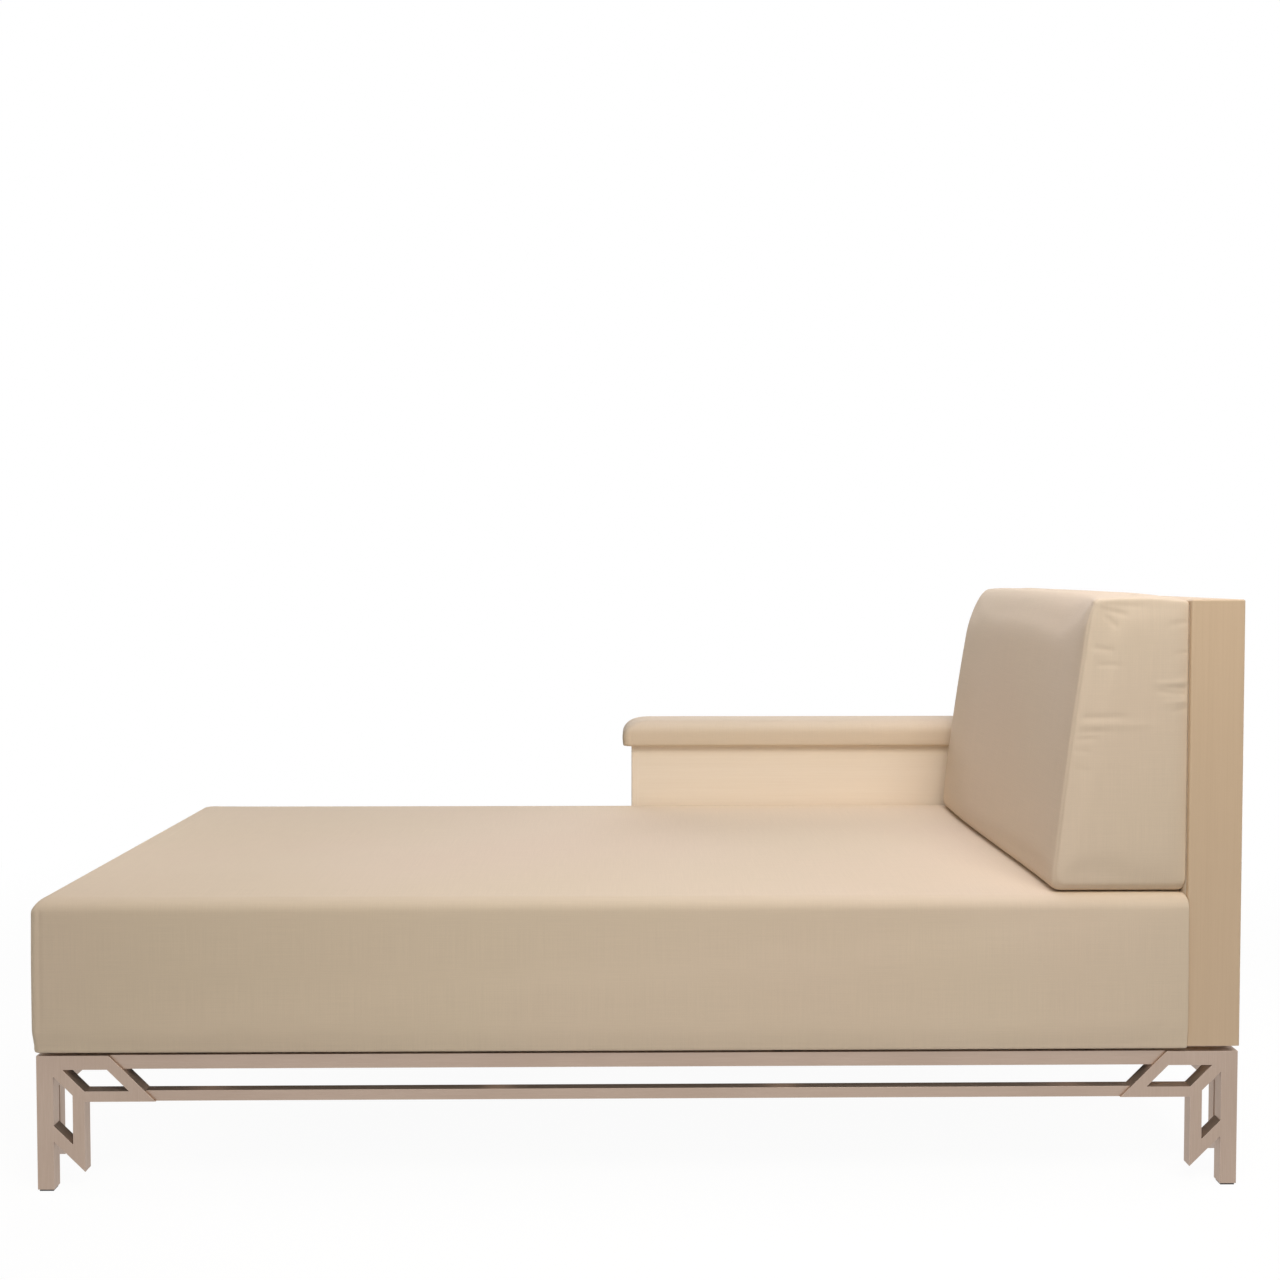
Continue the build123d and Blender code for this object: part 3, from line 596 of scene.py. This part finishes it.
def padMesh(name, low, high, look, finer=()):
    tall = high.z - low.z - look["sink"]
    under, edge = look["underRound"], look["edgeRound"]
    wallTop = tall - edge

    def stand(z):
        proud = smoothStep(z, 0.002, look["proudBy"]) * (1.0 - look["topDraw"] * smoothStep(z, 0.5 * tall, tall))
        roll = math.exp(-((z - look["rollAt"]) / look["rollWide"]) ** 2)
        return float(look["proud"] * proud + look["roll"] * roll)

    lengthX = high.x - low.x - look["footRound"] - look["headRound"]
    lengthY = high.y - low.y - 2 * look["footRound"]
    runX, runY = evenRun(lengthX, look["step"]), evenRun(lengthY, look["step"])
    endLines = look["endLines"]
    for spot, reach, step in ((lengthX, *endLines), (endLines[1], *endLines)) + tuple(finer):
        runX = finerNear(runX, lengthX, spot, reach, step)
    for spot in (0.0, lengthY):
        runY = finerNear(runY, lengthY, spot, *look["sideLines"])
    droop, hem = look["droop"], look["hem"]
    rows = [(hem, look["hemLip"], True), (hem, 0.0, True)]    # inset, height, whether it is under the pad
    rows += [(under + inset, -share * droop, True) for inset, share in look["hemRows"]]
    for turn in np.radians(np.linspace(0, 90, look["underTurns"])):
        rows.append((under * (1 - math.sin(turn)), under * (1 - math.cos(turn)) - droop, True))
    wallFrom = look["wallFrom"]
    wallLines = np.linspace(wallFrom, wallTop, max(2, round((wallTop - wallFrom) / look["rowStep"])) + 1)
    lowLines = np.arange(under + 0.0015, wallFrom - 0.001, look["lowStep"])
    for z in np.concatenate((lowLines, wallLines)):
        rows.append((-stand(z), z - droop * float(1 - smoothStep(z, 0.0, look["sagFade"])), False))
    for turn in np.radians(np.linspace(0, 90, look["rimTurns"]))[1:]:
        rows.append((edge * (1 - math.cos(turn)) - stand(wallTop), wallTop + edge * math.sin(turn), False))
    allSides = []
    for inset, z, isHem in rows:
        climb = min(1.0, max(0.0, 1 - (tall - z) / look["footDrop"]))
        footIn = inset
        if climb:                        # rounder at the foot end
            footIn = min(inset, 0.0) + look["footReach"] * (1 - math.sqrt(1 - climb ** 2))
        if isHem and inset <= under:
            footIn = look["footHem"] * inset
        headIn = max(inset, look["headGap"]) if isHem else look["headGap"]
        footRound = look["footRound"] + look["hemRound"] * max(inset, 0.0)
        sides = planSides(low.x + footIn, high.x - headIn, low.y + inset, high.y - inset,
                          footRound, look["headRound"], runX, runY, look["cornerTurns"])
        allSides.append([np.column_stack((side, np.full(len(side), low.z + z))) for side in sides])
    points, faces = stackRings(allSides)
    pad = newMesh(name, points, faces, seatCloth)
    isLow, isEnd = points[:, 2] < low.z + under * look["heldLow"], points[:, 0] > high.x - look["heldEnd"]
    held = np.where(isLow | isEnd)[0]
    swell(pad, held, look)
    return pad


def creaseLines(rows, y, fades):          # lines for pressLines from rows in mm
    return [((x0, y, z0), (x1, y, z1), width, depth, *fades)
            for x0, z0, x1, z1, width, depth in np.array(rows) / 1000]


# folded corners at the foot end of a pad
def cornerPleats(low, high, look, sides):
    x, (top, bottom) = low.x + look["pleatFrom"], look["pleatEnds"]
    sizes = (look["pleatWidth"], -look["pleatDepth"], 0.0, look["pleatFade"])
    return [((x, y, high.z - top), (x, y, low.z + bottom), *sizes) for y in sides]


# upholstered seat box

seatLook = {
    **padLook,
    "edgeRound": 0.020, "footRound": 0.009, "headRound": 0.0025,
    "footReach": 0.020, "footDrop": 0.020,     # rounding over the top of the foot end
    "underRound": 0.0025, "hem": 0.026,
    "proud": 0.0026, "proudBy": 0.035,     # how far the walls stand out, and by what height
    "droop": 0.0018,                       # how far the lower edge sags
    "roll": 0.0004, "rollAt": 0.0045,      # small roll along the lower edge
    "step": 0.016,
    "sink": 0.0012,                        # how much lower it starts before it swells
    "crown": 0.0016,                       # most it may rise above the solid
    "frames": 16, "limit": 0.0024, "settle": 30,
    "pleatFrom": 0.013, "pleatWidth": 0.0026, "pleatDepth": 0.0008, "pleatEnds": (0.010, 0.006), "pleatFade": 0.3,
    "armReach": 0.03, "armGap": 0.0004,    # kept flat against the arm from this far before it
    "cushionFade": (0.06, 0.01),           # and flat under the cushion
    # pulls in the cloth, mm: x and z of both ends, width, depth
    "pulls": [(776, 238, 806, 257, 4.5, -1.2), (792, 232, 815, 243, 4.0, -0.7)],
    "pullFade": (0.3, 0.3), "pullLines": (0.03, 0.005),
}


def buildSeat(look):
    low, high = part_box("seat_cover")
    pullSpot = look["pulls"][0][2] / 1000 - low.x - look["footRound"]
    seat = padMesh("seatUpholstery", low, high, look, [(pullSpot, *look["pullLines"])])
    shaped = readPoints(seat.data)
    shaped[:, 0] = np.minimum(shaped[:, 0], high.x - look["headGap"])
    besideArm = shaped[:, 0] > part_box("arm_inner_skin")[0].x - look["armReach"]
    shaped[besideArm, 1] = np.minimum(shaped[besideArm, 1], high.y - look["armGap"])
    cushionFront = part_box("back_cushion_cover")[0].x
    underCushion = smoothStep(shaped[:, 0], *[cushionFront - reach for reach in look["cushionFade"]])
    shaped[:, 2] = np.minimum(shaped[:, 2], high.z + look["crown"] * (1.0 - underCushion))
    writePoints(seat, shaped)
    near, far = low.y - look["proud"], high.y + look["proud"]
    pulls = creaseLines(look["pulls"], near, look["pullFade"])
    pressLines(seat, cornerPleats(low, high, look, (near, far)) + pulls)
    smoothed(seat)
    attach(seat, "chaise")
    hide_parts("seat_cover", "seat_foam")


buildSeat(seatLook)
print("seat made")


# padded cap of the arm

capLook = {
    **padLook,
    "edgeRound": 0.024, "footRound": 0.014, "headRound": 0.0012,
    "footReach": 0.040, "footDrop": 0.034,
    "underRound": 0.005, "hem": 0.024,
    "proud": 0.0008, "proudBy": 0.016, "droop": 0.0,
    "roll": 0.0005, "rollAt": 0.0040,
    "step": 0.012,
    "sink": 0.0022, "crown": 0.0, "boardGap": 0.0003,
    "frames": 14, "limit": 0.0018, "settle": 12,
    "pleatFrom": 0.016, "pleatWidth": 0.0024, "pleatDepth": 0.0007, "pleatEnds": (0.012, 0.004), "pleatFade": 0.2,
}


def buildCap(look):
    low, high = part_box("arm_cap_cover")
    low.z += look["boardGap"]
    cap = padMesh("armCapPad", low, high, look)
    shaped = readPoints(cap.data)
    shaped[:, 0] = np.minimum(shaped[:, 0], high.x - look["headGap"])
    shaped[:, 2] = np.minimum(shaped[:, 2], high.z + look["crown"])
    writePoints(cap, shaped)
    pressLines(cap, cornerPleats(low, high, look, (low.y, high.y)))
    smoothed(cap)
    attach(cap, "chaise")
    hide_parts("arm_cap_cover", "arm_cap_foam")


buildCap(capLook)
print("arm cap made")


# loose back cushion: depths run forward from its rear face, heights up from the seat

cushionLook = {
    "toe": 0.014, "toeHeight": 0.016, "crownHeight": 0.4565,
    "napeDepth": 0.014, "napeHeight": 0.452, "rearRound": 0.014, "nearNape": 0.94,    # nearNape: how far it squares up
    # one profile for the middle, a fuller and squarer one for the near end and one tucked in at the far end
    "middle": {"base": (0.199, 0.0), "belly": (0.172, 0.221), "shoulder": (0.1484, 0.3625),
               "brow": (0.1200, 0.4550), "crest": (0.1005, 0.4550)},
    "near": {"base": (0.204, 0.0), "belly": (0.1815, 0.221), "shoulder": (0.1630, 0.3625),
             "brow": (0.1550, 0.4575), "crest": (0.1390, 0.4545)},
    "far": {"base": (0.192, 0.0), "belly": (0.170, 0.221), "shoulder": (0.1475, 0.3625),
            "brow": (0.1190, 0.4550), "crest": (0.0995, 0.4550)},
    "nearReach": 0.18, "farReach": 0.25,
    "browLead": 0.045,                     # how far the face runs on straight before it bends over at the brow
    "browLines": 33, "browTurn": 24,       # where on that bend the face gives way to the top
    "nearSag": 0.005, "sagReach": 0.40,    # the top falls a little towards the near end
    "swellFront": 0.002, "endBulge": 0.003,
    "nearEdges": {"front": 0.013, "back": 0.0015, "low": 0.022, "top": 0.006},    # rounding along the edges of its ends
    "farEdges": {"front": 0.036, "back": 0.004, "low": 0.022, "top": 0.012},
    "nearLines": (0.0, 0.0006, 0.0014, 0.0026, 0.0042, 0.0065, 0.0095, 0.0135, 0.018, 0.023),
    "farLines": (0.0, 0.0008, 0.002, 0.0036, 0.0055, 0.008, 0.011, 0.0145, 0.0185, 0.023, 0.029, 0.037),
    "zipChamfer": 0.020, "rearLow": 0.003, "zipHalf": 0.250, "zipFade": 0.04,
    "step": 0.010, "frontLines": 84, "topLines": 34,
    "pressure": 3.0, "tension": 25.0, "bending": 5.0, "frames": 18, "limit": 0.0030, "settle": 12,
    "seamAt": 0.0042, "seamWidth": 0.0014, "seamDepth": 0.0007,
    "heldBy": 0.003, "zipHeld": 0.002, "nearSpill": 0.002,
    "puckerFade": (0.15, 0.35), "foldFade": (0.1, 0.6),
    # puckers on the ends, mm: x and z of both ends, width, depth
    "nearPuckers": [(692, 884, 745, 870, 4.0, -1.4), (694, 880, 728, 848, 4.5, -1.1), (700, 889, 775, 884, 3.6, -0.9),
                    (680, 823, 724, 817, 4.0, -0.9), (690, 797, 740, 795, 4.0, -0.8), (834, 771, 768, 767, 4.6, 0.9),
                    (834, 760, 790, 763, 3.4, -1.0), (834, 752, 776, 757, 4.2, -1.1), (834, 742, 786, 737, 3.8, 0.8),
                    (834, 730, 800, 724, 4.0, -0.7), (664, 716, 748, 718, 4.2, -1.2), (662, 705, 800, 706, 6.0, 0.8),
                    (656, 693, 722, 697, 4.0, -0.8), (652, 682, 700, 685, 3.8, -1.0), (650, 667, 688, 664, 3.6, -0.9),
                    (648, 640, 692, 633, 5.0, -0.7), (834, 862, 796, 856, 4.5, -0.8), (834, 815, 804, 812, 4.2, -0.6)],
    "farPuckers": [(698, 880, 765, 858, 4.5, -1.2), (690, 735, 770, 742, 5.0, -1.1), (680, 640, 730, 646, 4.5, -0.9),
                   (834, 700, 785, 704, 4.5, -0.9)],
    # pinched beside the near top corner
    "cornerFold": [((0.692, -0.396, 0.892), (0.674, -0.390, 0.850), 0.0070, -0.0030)],
}


# arc through three points
def arcPoints(start, middle, end, count):
    (ax, ay), (bx, by), (cx, cy) = start, middle, end
    d = 2 * (ax * (by - cy) + bx * (cy - ay) + cx * (ay - by))
    a, b, c = ax * ax + ay * ay, bx * bx + by * by, cx * cx + cy * cy
    ux = (a * (by - cy) + b * (cy - ay) + c * (ay - by)) / d
    uy = (a * (cx - bx) + b * (ax - cx) + c * (bx - ax)) / d
    radius = math.hypot(ax - ux, ay - uy)
    first = math.atan2(ay - uy, ax - ux)
    turnMid = (math.atan2(by - uy, bx - ux) - first) % (2 * math.pi)
    turnEnd = (math.atan2(cy - uy, cx - ux) - first) % (2 * math.pi)
    if turnMid > turnEnd:
        turnEnd -= 2 * math.pi
    turns = first + turnEnd * np.linspace(0, 1, count)
    return [(ux + radius * math.cos(turn), uy + radius * math.sin(turn)) for turn in turns]


# smooth bend that leaves start towards lead and comes to end from corner
def bendPoints(start, lead, corner, end, count):
    share = np.linspace(0, 1, count)[:, None]
    shares = ((1 - share) ** 3, 3 * share * (1 - share) ** 2, 3 * share ** 2 * (1 - share), share ** 3)
    line = sum(part * np.array(place) for part, place in zip(shares, (start, lead, corner, end)))
    return [tuple(point) for point in line]


def resample(line, count):
    line = np.array(line)
    run = lengthAlong(line)
    places = np.linspace(0.0, run[-1], count + 1)
    return np.column_stack((np.interp(places, run, line[:, 0]), np.interp(places, run, line[:, 1])))


# one slice of the cushion, as its underside, face, top and back
def cushionSides(look, rear, low, draw, puff, near, far, sag, chamfer):
    inFront, inTop = draw["front"] - puff, draw["top"] - puff + sag
    back, base = rear - draw["back"], low + draw["low"]
    half = 1 - math.sqrt(0.5)

    def at(part, drop):
        depth, height = [middle + (ear - middle) * near + (tuck - middle) * far
                         for middle, ear, tuck in zip(look["middle"][part], look["near"][part], look["far"][part])]
        return (rear - depth + inFront, low + height - drop)
    toeX = at("base", 0.0)[0]
    toeLow, toeHigh = (toeX + look["toe"], base), (toeX, base + look["toeHeight"])
    toeMid = (toeX + look["toe"] * half, base + look["toeHeight"] * half)
    belly, shoulder, brow, crest = at("belly", 0.0), at("shoulder", inTop), at("brow", inTop), at("crest", inTop)
    napeDepth, rearRound = [look[part] * (1 - look["nearNape"] * near) for part in ("napeDepth", "rearRound")]
    nape = (back - napeDepth, low + look["napeHeight"] - inTop)
    crown = ((crest[0] + nape[0]) / 2, low + look["crownHeight"] - inTop)
    rearHigh = (back, nape[1] - rearRound)
    napeMid = (back - napeDepth * half, nape[1] - rearRound * half)
    faceArc = np.array(arcPoints(toeHigh, belly, shoulder, 60))
    onward = (faceArc[-1] - faceArc[-2]) / np.linalg.norm(faceArc[-1] - faceArc[-2])
    browArc = bendPoints(shoulder, faceArc[-1] + look["browLead"] * onward, brow, crest, look["browLines"])
    turn = look["browTurn"]
    napeArc = arcPoints(nape, napeMid, rearHigh, 9)
    zipHigh, zipLow = (back, base + chamfer), (back - chamfer, base)
    under = resample([zipLow, toeLow], look["topLines"])
    toeArc = arcPoints(toeLow, toeMid, toeHigh, 7)
    face = resample(toeArc + list(map(tuple, faceArc[1:])) + browArc[1:turn + 1], look["frontLines"])
    top = resample(browArc[turn:] + arcPoints(crest, crown, nape, 20)[1:] + napeArc[1:5], look["topLines"])
    behind = resample(napeArc[4:] + [zipHigh, zipLow], look["frontLines"])
    return [under, face, top, behind]


def buildCushion(look):
    low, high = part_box("back_cushion_cover")
    rear, base = high.x, low.z
    y0, y1 = low.y + look["endBulge"], high.y - look["endBulge"]
    middle = (y0 + y1) / 2

    def drawAt(edges, run):
        return {edge: radius - math.sqrt(max(radius ** 2 - max(radius - run, 0.0) ** 2, 0.0))
                for edge, radius in edges.items()}
    start, end = y0 + look["nearLines"][-1], y1 - look["farLines"][-1]
    slices = [(y0 + run, drawAt(look["nearEdges"], run), 0.0) for run in look["nearLines"]]
    for share in evenRun(end - start, look["step"])[1:-1]:
        puff = look["swellFront"] * 4 * share * (1 - share)
        slices.append((start + (end - start) * share, drawAt(look["nearEdges"], 1.0), puff))
    slices += [(y1 - run, drawAt(look["farEdges"], run), 0.0) for run in reversed(look["farLines"])]
    allSides = []
    for y, draw, puff in slices:
        fade = 1.0 - float(smoothStep(abs(y - middle), look["zipHalf"], look["zipHalf"] + look["zipFade"]))
        chamfer = look["rearLow"] + (look["zipChamfer"] - look["rearLow"]) * fade
        near = max(0.0, 1 - (y - y0) / look["nearReach"]) ** 2
        far = max(0.0, 1 - (y1 - y) / look["farReach"]) ** 2
        sag = look["nearSag"] * max(0.0, 1 - (y - y0) / look["sagReach"]) ** 2
        allSides.append([np.column_stack((side[:, 0], np.full(len(side), y), side[:, 1]))
                         for side in cushionSides(look, rear, base, draw, puff, near, far, sag, chamfer)])
    nearEnd = ringOf(allSides[0])
    endLow, endHigh = nearEnd.min(axis=0), nearEnd.max(axis=0)

    def pillow(way):                     # pushes the middle of an end face outward
        def push(point):
            up = np.clip((point[2] - endLow[2]) / (endHigh[2] - endLow[2]), 0.0, 1.0)
            front = endLow[0] + (look["near"]["base"][0] - look["near"]["shoulder"][0]) * up
            across = np.clip((point[0] - front) / (endHigh[0] - front), 0.0, 1.0)
            lift = (1.0 - (2 * up - 1) ** 4) * (1.0 - (2 * across - 1) ** 4)
            return point + np.array((0.0, way * look["endBulge"] * lift, 0.0))
        return push
    points, faces = stackRings(allSides, pillow(-1), pillow(1))
    cushion = newMesh("backCushion", points, faces, seatCloth)
    held = np.where((points[:, 2] < base + look["heldBy"]) | (points[:, 0] > rear - look["heldBy"])
                    | (rear - points[:, 0] + points[:, 2] - base < look["zipChamfer"] + look["zipHeld"]))[0]
    swell(cushion, held, look)
    shaped = readPoints(cushion.data)
    shaped[:, 0] = np.minimum(shaped[:, 0], rear)
    shaped[:, 1] = np.clip(shaped[:, 1], low.y - look["nearSpill"], high.y)
    shaped[:, 2] = np.clip(shaped[:, 2], base, base + look["crownHeight"] + look["swellFront"])
    writePoints(cushion, shaped)
    refined(cushion)
    puckers = creaseLines(look["nearPuckers"], low.y, look["puckerFade"])
    puckers += creaseLines(look["farPuckers"], high.y, look["puckerFade"])
    pressLines(cushion, puckers + [fold + look["foldFade"] for fold in look["cornerFold"]])
    shaped = readPoints(cushion.data)    # sewn seam round each end
    fromEnd = np.minimum(np.abs(shaped[:, 1] - y0 - look["seamAt"]), np.abs(y1 - look["seamAt"] - shaped[:, 1]))
    groove = look["seamDepth"] * np.exp(-(fromEnd / look["seamWidth"]) ** 2)
    writePoints(cushion, shaped - readNormals(cushion.data) * groove[:, None])
    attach(cushion, "back_cushion")
    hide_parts("back_cushion_cover", "back_cushion_foam")


buildCushion(cushionLook)
print("back cushion made")


# zip along the cushion's lower rear edge: two tapes and a row of meshing teeth

zipLook = {
    "length": 0.4796, "half": 0.0058, "split": 0.0013, "tapeLift": 0.0006, "tapeDeep": 0.0010, "tapeLines": 121,
    "bead": (0.0005, 0.0003), "thinEdge": (0.0008, 0.0002),    # width, height of the tape's inner and outer edge
    "pitch": 0.0022, "toothWide": 0.0015, "toothReach": 0.0019, "toothOverlap": 0.0007, "toothHigh": 0.0012,
    "chamfer": 0.020,
}


def prism(points, faces, rings):          # adds one closed rod
    base, count, gaps = len(points), len(rings[0]), len(rings) - 1
    points.extend(point for ring in rings for point in ring)
    faces.extend(tubeFaces(base, count, gaps))
    faces.append(tuple(base + i for i in reversed(range(count))))
    faces.append(tuple(base + gaps * count + i for i in range(count)))


def buildZip(look):
    low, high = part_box("back_cushion_cover")
    side = math.sqrt(0.5)
    origin = np.array((high.x - look["chamfer"] / 2, (low.y + high.y) / 2, low.z + look["chamfer"] / 2))
    upward, outward = np.array((side, 0.0, side)), np.array((side, 0.0, -side))

    def at(up, along, out):
        return tuple(origin + upward * up + np.array((0.0, along, 0.0)) + outward * out)
    ends = np.linspace(-look["length"] / 2, look["length"] / 2, look["tapeLines"])
    points, faces = [], []
    split, half, lift, deep = [look[part] for part in ("split", "half", "tapeLift", "tapeDeep")]
    (beadWide, beadHigh), (edgeWide, edgeHigh) = look["bead"], look["thinEdge"]
    for way in (1, -1):
        section = [(split, -deep), (split, lift), (split + beadWide, lift + beadHigh), (half * 0.5, lift),
                   (half - edgeWide, lift * 0.8), (half, edgeHigh), (half, -deep)]
        section = [(way * up, out) for up, out in (section if way < 0 else section[::-1])]
        prism(points, faces, [[at(up, along, out) for up, out in section] for along in ends])
    tape = newMesh("cushionZipTape", points, faces, strapWebbing)
    points, faces = [], []
    count = int(look["length"] / look["pitch"]) - 2
    for index in range(count):
        along = (index - (count - 1) / 2) * look["pitch"]
        way = 1 if index % 2 else -1
        wide, tall = look["toothWide"] / 2, look["toothHigh"]
        reach, overlap = way * look["toothReach"], -way * look["toothOverlap"]
        section = [(-wide, 0.0), (wide, 0.0), (wide, tall * 0.6), (wide * 0.5, tall),
                   (-wide * 0.5, tall), (-wide, tall * 0.6)]
        steps = [(reach, 0.8), (reach * 0.8, 1.0), (overlap * 0.6, 1.0), (overlap, 0.7)]    # place along it, size there
        section = section if way < 0 else section[::-1]
        prism(points, faces, [[at(up, along + run * size, out * size) for run, out in section] for up, size in steps])
    teeth = newMesh("cushionZipTeeth", points, faces, fixingSteel)
    for piece, slot in ((tape, "webbing"), (teeth, "steel")):
        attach(piece, "back_cushion")
    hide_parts("back_cushion_zip")


buildZip(zipLook)
print("zip made")


# black cloth stapled under the seat

dustLook = {
    "step": 0.022, "lift": 0.0015, "sag": 0.0030,
    "stapleGap": 0.060, "stapleEdge": 0.007, "stapleLong": 0.010, "stapleWire": 0.0005,
    "stapleFrom": (0.03, 0.04), "stapleTo": (0.02, 0.03),    # first and last one, from the corners along x and y
    # one staple: share of its length, rise
    "stapleBend": ((-0.5, 0.0018), (-0.49, 0.0), (-0.44, -0.0006), (0.44, -0.0006), (0.49, 0.0), (0.5, 0.0018)),
}


def buildDustCloth(look):
    low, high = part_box("seat_dust_cover")
    width, length = high.y - low.y, high.x - low.x
    runX, runY = evenRun(length, look["step"]), evenRun(width, look["step"])
    points = []
    for u in runX:
        for v in runY:
            slack = (1.0 - (2 * u - 1) ** 8) * (1.0 - (2 * v - 1) ** 4)
            wave = 0.75 + 0.25 * math.cos(u * 8 * math.pi) * math.cos(v * 2 * math.pi)    # held up at the stretchers
            points.append((low.x + u * length, low.y + v * width, low.z + look["lift"] - look["sag"] * slack * wave))
    across = len(runY)
    faces = [(i * across + j, i * across + j + 1, (i + 1) * across + j + 1, (i + 1) * across + j)
             for i in range(len(runX) - 1) for j in range(across - 1)]
    cloth = newMesh("dustCloth", points, faces, dustFelt)
    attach(cloth, "chaise")
    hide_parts("seat_dust_cover")
    points, faces = [], []
    edge, wire = look["stapleEdge"], look["stapleWire"]
    hexagon = [(wire * math.cos(turn), wire * math.sin(turn)) for turn in np.radians(range(0, 360, 60))]
    (fromX, fromY), (toX, toY) = look["stapleFrom"], look["stapleTo"]
    alongX = np.arange(low.x + fromX, high.x - toX, look["stapleGap"])
    alongY = np.arange(low.y + fromY, high.y - toY, look["stapleGap"])
    spots = [(x, y, 0) for y in (low.y + edge, high.y - edge) for x in alongX]
    spots += [(x, y, 1) for x in (low.x + edge, high.x - edge) for y in alongY]
    path = [(share * look["stapleLong"], low.z + look["lift"] + rise) for share, rise in look["stapleBend"]]
    for x, y, turned in spots:
        prism(points, faces, [[(x + a, y + run, z + b) for a, b in hexagon[::-1]] if turned else
                              [(x + run, y + a, z + b) for a, b in hexagon] for run, z in path])
    staples = newMesh("dustStaples", points, faces, fixingSteel)
    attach(staples, "chaise")


buildDustCloth(dustLook)
print("dust cloth made")


# studio: pale floor, white surround and soft lamps

studio = {
    "floorHalf": 12, "floorTone": 0.80,
    "floorShade": 0.07,       # share of the floor's own shading that the camera sees
    "floorGlow": 0.955,       # plain white added to it
    "clearFrom": 1.5, "clearTo": 2.6,   # metres from the middle over which the floor fades to plain white
    "ambient": 0.07,
    "lamps": {
        "overheadLamp": {"place": (0.5, -0.05, 2.5), "size": (2.3, 1.2), "power": 19.5,
                         "colour": (0.85, 0.855, 1.0), "aim": (0.4, -0.05, 0.0)},
        "highLamp": {"place": (0.68, -1.85, 2.75), "size": (1.9, 1.1), "power": 53.0,
                     "colour": (1.0, 0.95, 0.86), "aim": (0.4, 0.15, 0.5)},
        "frontLamp": {"place": (-1.0, -2.6, 1.8), "size": (1.2, 1.0), "power": 9.0,
                      "colour": (1.0, 0.965, 0.82), "aim": (0.4, 0.2, 0.55)},
        "rearLamp": {"place": (-0.2, 3.0, 1.7), "size": (2.4, 1.4), "power": 30.0,
                     "colour": (1.0, 0.97, 0.94), "aim": (0.1, 0.3, 0.4)},
        "footLamp": {"place": (-2.0, 0.0, 0.95), "size": (0.9, 0.5), "power": 0.7,
                     "colour": (1.0, 0.97, 0.94), "aim": (-0.915, 0.0, 0.30), "spread": 40},
        "headLamp": {"place": (2.4, 0.0, 1.2), "size": (0.9, 0.5), "power": 1.6,
                     "colour": (1.0, 0.97, 0.94), "aim": (0.915, 0.0, 0.55), "spread": 60},
    },
}


def addLamp(name, look):
    lamp = bpy.data.lights.new(name, "AREA")
    lamp.shape = "RECTANGLE"
    lamp.size, lamp.size_y = look["size"]
    lamp.energy = look["power"]
    lamp.color = look["colour"]
    lamp.spread = math.radians(look.get("spread", 180))    # how wide its beam opens
    holder = bpy.data.objects.new(name, lamp)
    holder.location = look["place"]
    aim = Vector(look["aim"]) - Vector(look["place"])
    holder.rotation_euler = aim.to_track_quat("-Z", "Y").to_euler()
    bpy.context.scene.collection.objects.link(holder)


def seenShare(tree):                      # 1 for what the camera, a reflection or a clear piece shows
    light = addNode(tree, "LightPath")
    return mathNode(tree, "MAXIMUM", light.outputs["Is Camera Ray"],
                    mathNode(tree, "MAXIMUM", light.outputs["Is Glossy Ray"], light.outputs["Is Transmission Ray"]))


def buildFloor(look):
    material, tree, shader = newMaterial("studioFloor")
    tree.nodes.remove(shader)
    tone, shade, white = [(level, level, level, 1.0) for level in
                          (look["floorTone"], look["floorTone"] * look["floorShade"], 1.0)]
    glow = nodeOut(tree, "Emission", {"Color": white, "Strength": look["floorGlow"]})
    near = nodeOut(tree, "AddShader", {0: nodeOut(tree, "BsdfDiffuse", {"Color": shade}), 1: glow})
    away = addNode(tree, "VectorMath", {"operation": "LENGTH"}, {0: addNode(tree, "TexCoord").outputs["Object"]})
    far = mapRange(tree, away.outputs["Value"], look["clearFrom"], look["clearTo"])
    plain = nodeOut(tree, "Emission", {"Color": white, "Strength": 1.0})
    shown = nodeOut(tree, "MixShader", {0: far, 1: near, 2: plain})
    mix = nodeOut(tree, "MixShader", {0: seenShare(tree), 1: nodeOut(tree, "BsdfDiffuse", {"Color": tone}), 2: shown})
    back = addNode(tree, "NewGeometry").outputs["Backfacing"]
    below = nodeOut(tree, "MixShader", {0: back, 1: mix, 2: nodeOut(tree, "BsdfTransparent")})    # clear from below
    setInputs(tree, tree.nodes["Material Output"], {"Surface": below})
    wide = look["floorHalf"]
    corners = [(-wide, -wide, 0), (wide, -wide, 0), (wide, wide, 0), (-wide, wide, 0)]
    floor = newMesh("studioFloor", corners, [(0, 1, 2, 3)], material)


def buildWorld(look):
    world = bpy.data.worlds.new("studioSurround")
    world.use_nodes = True
    tree = world.node_tree
    strength = mapRange(tree, seenShare(tree), 0.0, 1.0, look["ambient"], 1.0)
    background = tree.nodes["Background"]
    background.inputs["Color"].default_value = (1.0, 1.0, 1.0, 1.0)
    tree.links.new(strength, background.inputs["Strength"])
    bpy.context.scene.world = world


for lampName, lampLook in studio["lamps"].items():
    addLamp(lampName, lampLook)
buildFloor(studio)
buildWorld(studio)
print("studio lit")
